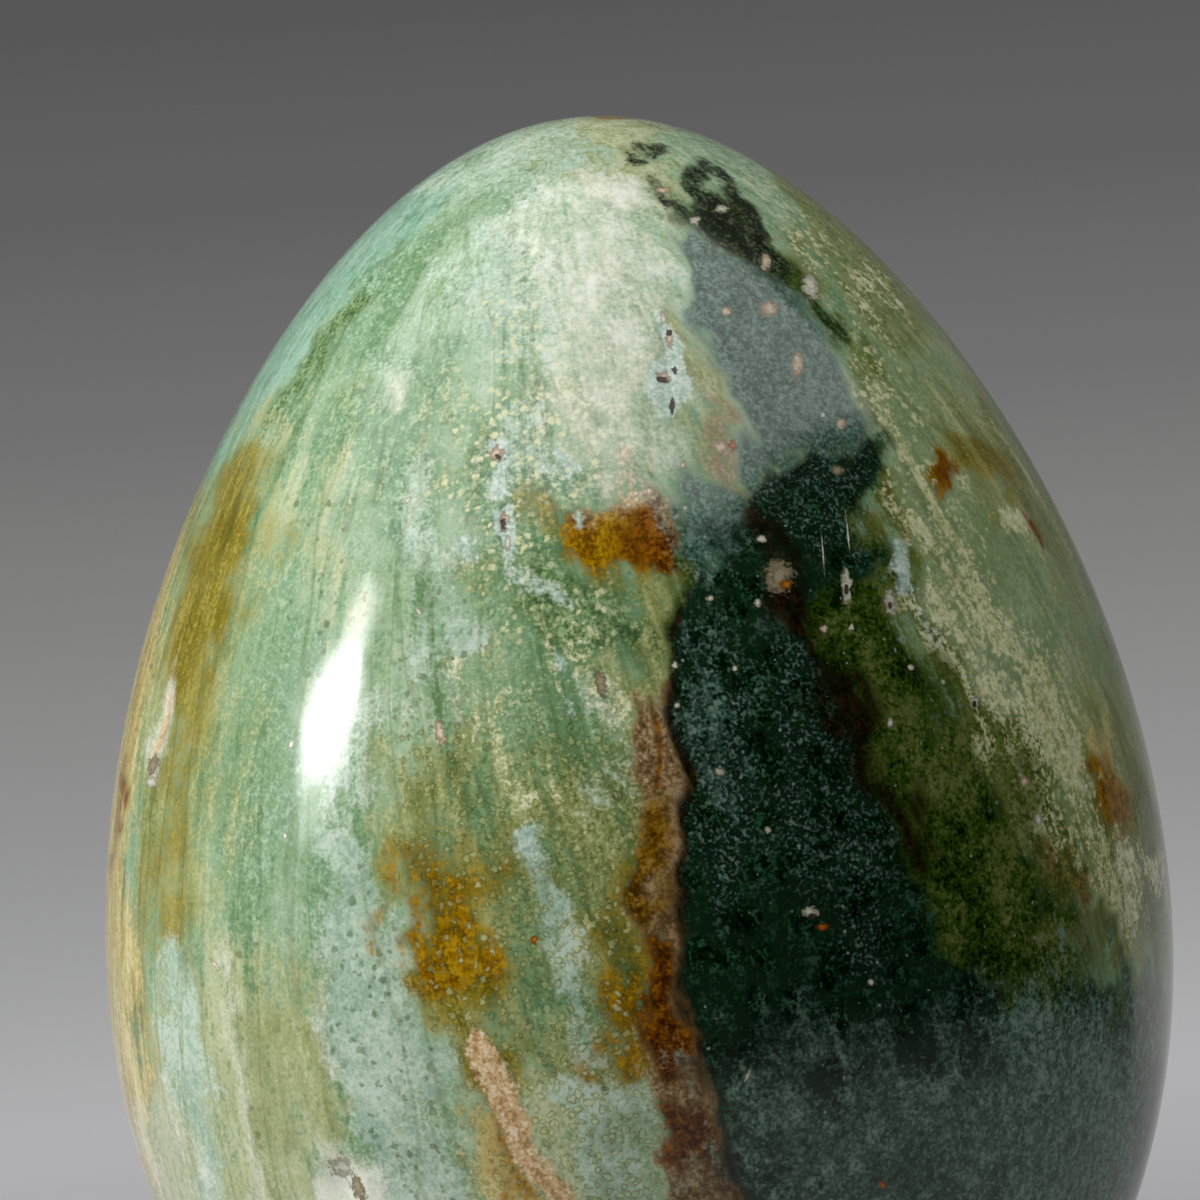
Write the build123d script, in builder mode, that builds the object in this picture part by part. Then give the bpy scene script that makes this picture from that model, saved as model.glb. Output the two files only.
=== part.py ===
from build123d import *
import os
from math import cos, hypot, pi, radians, sin, tan

# A polished stone egg that stands on its blunt end between three wooden pegs.
# The pegs are glued into a turned wooden base, which stands on three rubber feet.
# All sizes are in millimetres, angles in degrees. The origin is on the floor, under the middle.

# Egg
egg_height = 76.0
egg_waist = 55.0  # diameter at half height
egg_taper = 0.153  # share of the waist that the tip loses and the blunt end gains
egg_pinch = 0.03  # share of the waist that both ends lose
egg_outline_points = 13  # places where the drawn curve meets the formula

# Pegs
peg_count = 3
peg_diameter = 7.0
peg_splay = 12.0  # lean of each peg away from the middle
peg_tenon = 8.0  # length glued into the base
peg_chamfer = 0.6
tip_circle = 34.0  # diameter of the circle through the centres of the round tips
first_peg_angle = 90.0  # one peg stands at the back, two at the front

# Fits
seat_gap = 0.2  # between a peg's tip and the egg
glue_gap = 0.05  # around a tenon
glue_pocket = 0.6  # under a tenon
egg_clearance = 5.0  # between the top of the base and the bottom of the egg

# Base, a stack of turned mouldings
upper_bead = 3.0
lower_bead = 5.0
cove_height = 4.5
cove_width = 2.6
fillet_height = 0.8  # plain band between two mouldings
neck_step = 0.8  # how far the neck steps in under the upper bead
base_rim = 4.5  # wood on the top between a socket and the upper bead

# Feet
foot_diameter = 9.0
foot_flat = 5.6
foot_height = 3.0
foot_inset = 1.0  # from the edge of the base's underside


def egg_outline(angle):
    """Radius and height above the blunt end; angle runs from 0 there to pi at the tip."""
    swell = 1 + egg_taper * cos(angle) - egg_pinch * cos(angle) ** 2
    return egg_waist / 2 * sin(angle) * swell, egg_height / 2 * (1 - cos(angle))


def outside_egg(angle, distance):
    """Radius and height of the point that lies a distance outside the outline, square to it."""
    swell = 1 + egg_taper * cos(angle) - egg_pinch * cos(angle) ** 2
    swell_slope = (2 * egg_pinch * cos(angle) - egg_taper) * sin(angle)
    radius_slope = egg_waist / 2 * (cos(angle) * swell + sin(angle) * swell_slope)
    height_slope = egg_height / 2 * sin(angle)
    reach = distance / hypot(radius_slope, height_slope)
    radius, height = egg_outline(angle)
    return radius + reach * height_slope, height - reach * radius_slope


def tip_centre_height():
    """Height of a tip's centre above the blunt end, where the tip just clears the egg."""
    distance = peg_radius + seat_gap
    low, high = 0.0, pi / 2
    for _ in range(50):
        middle = (low + high) / 2
        if outside_egg(middle, distance)[0] < tip_circle / 2:
            low = middle
        else:
            high = middle
    return outside_egg(low, distance)[1]


peg_radius = peg_diameter / 2

# Heights, from the floor up
base_bottom = foot_height
lower_fillet_z = base_bottom + lower_bead
cove_z = lower_fillet_z + fillet_height
neck_z = cove_z + cove_height
upper_bead_z = neck_z + fillet_height
base_top = upper_bead_z + upper_bead
egg_bottom = base_top + egg_clearance
tip_rise = egg_clearance + tip_centre_height()  # tip centre above the base

# Radii that follow from where the pegs leave the base
peg_root_radius = tip_circle / 2 - tip_rise * tan(radians(peg_splay))
base_top_radius = peg_root_radius + peg_radius + base_rim
neck_radius = base_top_radius - neck_step
underside_radius = neck_radius + cove_width
foot_circle_radius = underside_radius - foot_inset - foot_diameter / 2


def peg_plane(number):
    """Plane across peg number 0, 1 or 2 where its axis leaves the base; its z runs up the peg."""
    turn = radians(first_peg_angle + 360 / peg_count * number)
    lean = radians(peg_splay)
    return Plane(
        origin=(peg_root_radius * cos(turn), peg_root_radius * sin(turn), base_top),
        x_dir=(-sin(turn), cos(turn), 0),
        z_dir=(sin(lean) * cos(turn), sin(lean) * sin(turn), cos(lean)),
    )


def upright_plane(origin):
    """Sketch plane through a point, with the sketch's x along X and its y up."""
    return Plane(origin=origin, x_dir=(1, 0, 0), z_dir=(0, -1, 0))


os.makedirs("parts", exist_ok=True)

# Egg: the outline turned about the upright axis
outline_angles = [pi * step / (egg_outline_points - 1) for step in range(egg_outline_points)]
with BuildPart() as egg:
    with BuildSketch(upright_plane((0, 0, egg_bottom))):
        with BuildLine():
            side = Spline(
                [egg_outline(angle) for angle in outline_angles],
                tangents=[(1, 0), (-1, 0)],
                tangent_scalars=[1, 1],
            )
            Line(side @ 1, side @ 0)
        make_face()
    revolve(axis=Axis.Z)
egg.part.label = "egg"
export_step(egg.part, "parts/egg.step")

# Base: two half-round beads with a neck and a cove between them, then three leaning sockets
with BuildPart() as base:
    with BuildSketch(upright_plane((0, 0, 0))):
        with BuildLine():
            Line((0, base_bottom), (underside_radius, base_bottom))
            ThreePointArc(
                (underside_radius, base_bottom),
                (underside_radius + lower_bead / 2, base_bottom + lower_bead / 2),
                (underside_radius, lower_fillet_z),
            )
            Line((underside_radius, lower_fillet_z), (underside_radius, cove_z))
            EllipticalCenterArc((underside_radius, neck_z), cove_width, cove_height, start_angle=180)
            Polyline((neck_radius, neck_z), (neck_radius, upper_bead_z), (base_top_radius, upper_bead_z))
            ThreePointArc(
                (base_top_radius, upper_bead_z),
                (base_top_radius + upper_bead / 2, upper_bead_z + upper_bead / 2),
                (base_top_radius, base_top),
            )
            Polyline((base_top_radius, base_top), (0, base_top), (0, base_bottom))
        make_face()
    revolve(axis=Axis.Z)
    with Locations(*(peg_plane(number).location for number in range(peg_count))):
        Hole(peg_radius + glue_gap, peg_tenon + glue_pocket)
base.part.label = "base"
export_step(base.part, "parts/base.step")

# Pegs: a dowel with a chamfered tenon and a half-ball tip, turned about its own leaning axis
tip_centre = tip_rise / cos(radians(peg_splay))  # along the peg, from the top of the base
for number in range(peg_count):
    place = peg_plane(number)
    with BuildPart() as peg:
        with BuildSketch(Plane(origin=place.origin, x_dir=place.x_dir, z_dir=-place.y_dir)):
            with BuildLine():
                Polyline(
                    (0, tip_centre + peg_radius),
                    (0, -peg_tenon),
                    (peg_radius - peg_chamfer, -peg_tenon),
                    (peg_radius, peg_chamfer - peg_tenon),
                    (peg_radius, tip_centre),
                )
                CenterArc((0, tip_centre), peg_radius, 0, 90)
            make_face()
        revolve(axis=Axis(place.origin, place.z_dir))
    peg.part.label = f"peg_{number + 1}"
    export_step(peg.part, f"parts/peg_{number + 1}.step")

# Feet: rubber bumpers, each a dome cut flat where it meets the floor, one under each peg
for number in range(peg_count):
    turn = radians(first_peg_angle + 360 / peg_count * number)
    middle = Vector(foot_circle_radius * cos(turn), foot_circle_radius * sin(turn), 0)
    with BuildPart() as foot:
        with BuildSketch(upright_plane(middle)):
            with BuildLine():
                Polyline(
                    (foot_diameter / 2, foot_height),
                    (0, foot_height),
                    (0, 0),
                    (foot_flat / 2, 0),
                )
                EllipticalCenterArc(
                    (foot_flat / 2, foot_height),
                    (foot_diameter - foot_flat) / 2,
                    foot_height,
                    start_angle=270,
                )
            make_face()
        revolve(axis=Axis(middle, (0, 0, 1)))
    foot.part.label = f"foot_{number + 1}"
    export_step(foot.part, f"parts/foot_{number + 1}.step")

widest = max(egg_outline(pi * step / 400) for step in range(401))
print(f"egg {egg_height:.1f} tall, {2 * widest[0]:.2f} across at {widest[1]:.1f} above its blunt end")
print(f"base {2 * underside_radius + lower_bead:.2f} across, top at {base_top:.2f}")
print(f"egg from {egg_bottom:.2f} to {egg_bottom + egg_height:.2f}")
print(f"peg tip centres {tip_rise:.2f} above the base, pegs leave it at radius {peg_root_radius:.2f}")
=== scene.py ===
from math import cos, pi, radians, sin

import bpy
import numpy as np
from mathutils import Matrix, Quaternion, Vector


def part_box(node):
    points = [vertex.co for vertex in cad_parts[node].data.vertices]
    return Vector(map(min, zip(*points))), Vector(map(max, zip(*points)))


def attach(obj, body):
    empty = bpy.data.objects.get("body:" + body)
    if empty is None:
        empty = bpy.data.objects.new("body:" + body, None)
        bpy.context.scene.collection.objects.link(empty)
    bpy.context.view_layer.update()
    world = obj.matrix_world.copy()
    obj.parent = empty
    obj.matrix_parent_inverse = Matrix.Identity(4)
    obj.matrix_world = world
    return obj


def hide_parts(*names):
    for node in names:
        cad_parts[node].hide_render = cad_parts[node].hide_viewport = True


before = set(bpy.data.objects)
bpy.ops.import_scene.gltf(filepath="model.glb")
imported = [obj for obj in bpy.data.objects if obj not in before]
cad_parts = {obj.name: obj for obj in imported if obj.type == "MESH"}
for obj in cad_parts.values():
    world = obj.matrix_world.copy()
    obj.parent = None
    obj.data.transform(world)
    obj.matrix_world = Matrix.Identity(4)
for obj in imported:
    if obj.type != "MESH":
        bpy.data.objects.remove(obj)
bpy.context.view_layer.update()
mm = 0.001  # the stone, the wood and the view are written in millimetres
scene = bpy.context.scene
scene.view_settings.view_transform = "Standard"
print("frame loaded:", ", ".join(sorted(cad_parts)))


def linearColour(code):  # sRGB hex to linear RGBA
    channels = [int(code[k:k + 2], 16) / 255 for k in (1, 3, 5)]
    return [*(c / 12.92 if c <= 0.04045 else ((c + 0.055) / 1.055) ** 2.4 for c in channels), 1.0]


# A shader node with its settings and links. It returns one of its outputs, or with out=None all of them. In a
# Mix node inputs 6 and 7 are the two colours, and 2 and 3 the two numbers.
def addNode(tree, kind, inputs=None, out=0, stops=None, **settings):
    node = tree.nodes.new("ShaderNode" + kind)
    for name, value in settings.items():
        setattr(node, name, value)
    for socket, value in (inputs or {}).items():
        if isinstance(value, bpy.types.NodeSocket):
            tree.links.new(value, node.inputs[socket])
        else:
            node.inputs[socket].default_value = value
    for number, (position, code) in enumerate(stops or []):
        ramp = node.color_ramp.elements
        stop = ramp[number] if number < 2 else ramp.new(position)  # a new ramp has two stops
        stop.position, stop.color = position, linearColour(code)
    return node.outputs if out is None else node.outputs[out]


def newMaterial(name):
    material = bpy.data.materials.new(name)
    material.use_nodes = True
    tree = material.node_tree
    return material, tree, tree.nodes["Principled BSDF"]


# The egg's own curve: angle a runs from 0 at the blunt end to pi at the tip,
# radius = waist / 2 * sin a * (1 + taper * cos a - pinch * cos a squared), height = H / 2 * (1 - cos a)
egg = {
    "taper": 0.153,  # share of the waist that the tip loses and the blunt end gains
    "pinch": 0.03,  # share of the waist that both ends lose
    "curveSteps": 4001,
    "columns": 320,
    "rows": 306,
    "frontCrowding": 0.7,  # columns stand closer on the side with the finest pattern
}
eggLow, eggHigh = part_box("egg")
eggBottom, eggTop = eggLow.z / mm, eggHigh.z / mm
eggHeight = eggTop - eggBottom
curveAngle = np.linspace(0, pi, egg["curveSteps"])
curveSwell = 1 + egg["taper"] * np.cos(curveAngle) - egg["pinch"] * np.cos(curveAngle) ** 2
curveRadius = np.sin(curveAngle) * curveSwell
curveRadius *= (eggHigh.x - eggLow.x) / mm / 2 / curveRadius.max()
curveHeight = eggHeight / 2 * (1 - np.cos(curveAngle)) + eggBottom
curveArc = np.append(0, np.cumsum(np.hypot(np.diff(curveRadius), np.diff(curveHeight))))
eggArc = curveArc[-1]  # length of the curve from end to end

# Camera: a long lens a little above level, rolled because the egg leans to the left in the picture
view = {
    "photoSize": 1200,
    "elevation": 8.0,
    "distance": 360.0,  # from the egg's middle
    "aim": (-0.85, 1.79, 12.74),  # from the egg's middle
    "roll": -3.83,
    "lens": 206.87,
    "sensor": 36.0,
    "clip": (0.01, 50.0),  # metres
}
eggMiddle = Vector((0, 0, (eggBottom + eggTop) / 2))
lift = radians(view["elevation"])
cameraPlace = eggMiddle + view["distance"] * Vector((0, -cos(lift), sin(lift)))
lookAlong = eggMiddle + Vector(view["aim"]) - cameraPlace
cameraTurn = lookAlong.to_track_quat("-Z", "Y") @ Quaternion((0, 0, 1), radians(view["roll"]))
camera = bpy.data.objects.new("camera", bpy.data.cameras.new("camera"))
scene.collection.objects.link(camera)
camera.data.lens, camera.data.sensor_width = view["lens"], view["sensor"]
camera.data.clip_start, camera.data.clip_end = view["clip"]
camera.location = cameraPlace * mm
camera.rotation_mode = "QUATERNION"
camera.rotation_quaternion = cameraTurn
scene.camera = camera

# Photo pixels to azimuth (0 at the front, + to the right) and arc height on the egg. A ray is stepped
# through the egg and its first step inside is refined by halving. A pixel beside the egg counts as
# further round it, by so many times the distance by which its ray misses. Slack and girth are millimetres.
sighting = {"steps": 901, "halvings": 24, "slack": 0.01, "beside": 2.0, "leastGirth": 10.0}


def stonePlace(pixels):
    pixels = np.asarray(pixels, float)
    half = view["photoSize"] / 2
    across = (pixels - half) * (1, -1) / view["photoSize"] * view["sensor"] / view["lens"]
    rays = np.column_stack([across, -np.ones(len(pixels))]) @ np.array(cameraTurn.to_matrix()).T
    reach = np.linspace(view["distance"] - eggHeight, view["distance"] + eggHeight, sighting["steps"])

    def outside(distance):
        steps = rays.reshape(len(rays), *[1] * (distance.ndim - 1), 3)
        place = np.array(cameraPlace) + distance[..., None] * steps
        rim = np.interp(place[..., 2], curveHeight, curveRadius)
        over = np.maximum(0, place[..., 2] - eggTop) + np.maximum(0, eggBottom - place[..., 2])
        return place, np.hypot(place[..., 0], place[..., 1]) - rim + over

    gap = outside(np.broadcast_to(reach, (len(rays), len(reach))))[1]
    first = np.where((gap < 0).any(1), (gap < 0).argmax(1), gap.argmin(1))
    low, high = reach[np.maximum(first - 1, 0)], reach[first]
    for _ in range(sighting["halvings"]):
        middle = (low + high) / 2
        beyond = outside(middle)[1] > 0
        low, high = np.where(beyond, middle, low), np.where(beyond, high, middle)
    place, miss = outside(high)
    azimuth = np.arctan2(place[:, 0], -place[:, 1])
    girth = np.maximum(sighting["leastGirth"], np.hypot(place[:, 0], place[:, 1]))
    azimuth += np.sign(azimuth) * np.maximum(0, miss - sighting["slack"]) * sighting["beside"] / girth
    return np.column_stack([azimuth, np.interp(place[:, 2], curveHeight, curveArc)])


# Every point of the egg, with its columns crowded towards the front: azimuth = t - crowding * sin t
turn = np.linspace(-pi, pi, egg["columns"], endpoint=False)
eggAzimuth = turn - egg["frontCrowding"] * np.sin(turn)
rowArc = np.linspace(0, eggArc, egg["rows"])
rowRadius = np.interp(rowArc, curveArc, curveRadius)
rowHeight = np.interp(rowArc, curveArc, curveHeight)
azimuthAt = np.append(np.tile(eggAzimuth, egg["rows"] - 2), [0, 0])
arcAt = np.append(np.repeat(rowArc[1:-1], egg["columns"]), [0, eggArc])
radiusAt = np.append(np.repeat(rowRadius[1:-1], egg["columns"]), [0, 0])
heightAt = np.append(np.repeat(rowHeight[1:-1], egg["columns"]), rowHeight[[0, -1]])


# Points of the egg in the frame of a small mark, in which the mark is a disc of radius 1 round the origin.
# A mark is its middle, its two half widths and its turn, in photo pixels and degrees.
def markPlace(x, y, halfWidth, halfHeight, turned):
    along = np.array([cos(radians(turned)), sin(radians(turned))])
    middle = np.array([x, y], float)
    rightAngle = np.array([-along[1], along[0]])
    corners = stonePlace([middle, middle + halfWidth * along, middle + halfHeight * rightAngle])
    scale = np.interp(corners[0, 1], curveArc, curveRadius), 1
    sides = (corners[1:] - corners[0]) * scale
    away = (np.column_stack([azimuthAt, arcAt]) - corners[0]) * scale
    return away @ np.linalg.inv(sides), np.linalg.norm(sides, axis=1).min()


# Open pockets in the stone, which the polish leaves sunk: marks with their depth in millimetres. At a
# share r of the way to its rim a pocket is depth * (1 - r squared) squared deep.
pockets = {
    "lilac": ((161, 726, 8, 44, 12), 0.3),
    "low": ((342, 1180, 24, 34, -20), 0.35),
    "upper": ((668, 372, 15, 44, 0), 0.09),
    "brow": ((503, 520, 8, 13, 0), 0.09),
    "browTop": ((497, 453, 7, 9, 0), 0.06),
    "right": ((847, 588, 7, 25, -4), 0.1),
    "rightEdge": ((891, 602, 8, 18, -8), 0.1),
}
sunkAt = np.zeros(len(azimuthAt))
for mark, depth in pockets.values():
    toRim = np.linalg.norm(markPlace(*mark)[0], axis=1)
    sunkAt = np.maximum(sunkAt, depth * np.clip(1 - toRim ** 2, 0, 1) ** 2)

# Egg surface: the profile carried round the upright axis, less the pockets. Each ring is a circle of its
# own radius and height, and one point at each end closes it.
radiusAt = radiusAt - sunkAt
pointsAt = np.column_stack([radiusAt * np.sin(azimuthAt), -radiusAt * np.cos(azimuthAt), heightAt])
rings, columns = egg["rows"] - 2, egg["columns"]
here = np.arange(columns)
after = (here + 1) % columns
ring = np.arange(rings - 1)[:, None] * columns
above = ring + columns
walls = np.stack([ring + here, ring + after, above + after, above + here], -1).reshape(-1, 4)
last = (rings - 1) * columns
bottomFan = np.stack([np.full(columns, rings * columns), after, here], -1)
topFan = np.stack([np.full(columns, rings * columns + 1), last + here, last + after], -1)
faceCorners = np.concatenate([walls.ravel(), bottomFan.ravel(), topFan.ravel()])
starts = np.concatenate([np.arange(len(walls)) * 4, walls.size + np.arange(2 * columns) * 3])
eggMesh = bpy.data.meshes.new("polished_egg")
eggMesh.vertices.add(len(pointsAt))
eggMesh.loops.add(len(faceCorners))
eggMesh.polygons.add(len(starts))
eggMesh.vertices.foreach_set("co", (pointsAt * mm).astype(np.float32).ravel())
eggMesh.loops.foreach_set("vertex_index", faceCorners.astype(np.int32))
eggMesh.polygons.foreach_set("loop_start", starts.astype(np.int32))
eggMesh.polygons.foreach_set("use_smooth", np.ones(len(starts), bool))
eggMesh.update(calc_edges=True)

# Map for baking: across by column, up by share of the curve's length
arcShare = rowArc[1:-1] / eggArc
wallMap = np.zeros((rings - 1, columns, 4, 2))
wallMap[..., 0] = np.stack([here, here + 1, here + 1, here], -1) / columns
wallMap[..., 1] = np.stack([arcShare[:-1], arcShare[:-1], arcShare[1:], arcShare[1:]], -1)[:, None]
bottomMap = np.zeros((columns, 3, 2))
bottomMap[..., 0] = np.stack([here + 0.5, here + 1, here], -1) / columns
bottomMap[..., 1] = 0, arcShare[0], arcShare[0]
topMap = np.zeros((columns, 3, 2))
topMap[..., 0] = np.stack([here + 0.5, here, here + 1], -1) / columns
topMap[..., 1] = 1, arcShare[-1], arcShare[-1]
eggMap = np.concatenate([wallMap.ravel(), bottomMap.ravel(), topMap.ravel()])
eggMesh.uv_layers.new(name="OFBake").data.foreach_set("uv", eggMap.astype(np.float32))
eggPiece = bpy.data.objects.new("polished_egg", eggMesh)
scene.collection.objects.link(eggPiece)
print("egg surface:", len(azimuthAt), "points")

# A zone of the stone is a patch (a filled outline) or a vein (a line with a width), read off the
# photograph in its pixels, also below its edge. A farPatch lies where the photograph shows
# nothing, in degrees and millimetres of arc. soft (half width of the edge) and width are in millimetres
# on the stone, and a fill below 1 leaves a zone patchy.
fullFill = 4.0


def patch(*corners, soft, fill=fullFill, width=None):
    return {"corners": stonePlace(corners), "soft": soft, "fill": fill, "width": width}


def vein(*corners, width, soft, fill=fullFill):
    return patch(*corners, soft=soft, fill=fill, width=width)


def farPatch(*corners, soft, fill=fullFill):
    return {"corners": np.array(corners, float) * (radians(1), 1), "soft": soft, "fill": fill, "width": None}


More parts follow.
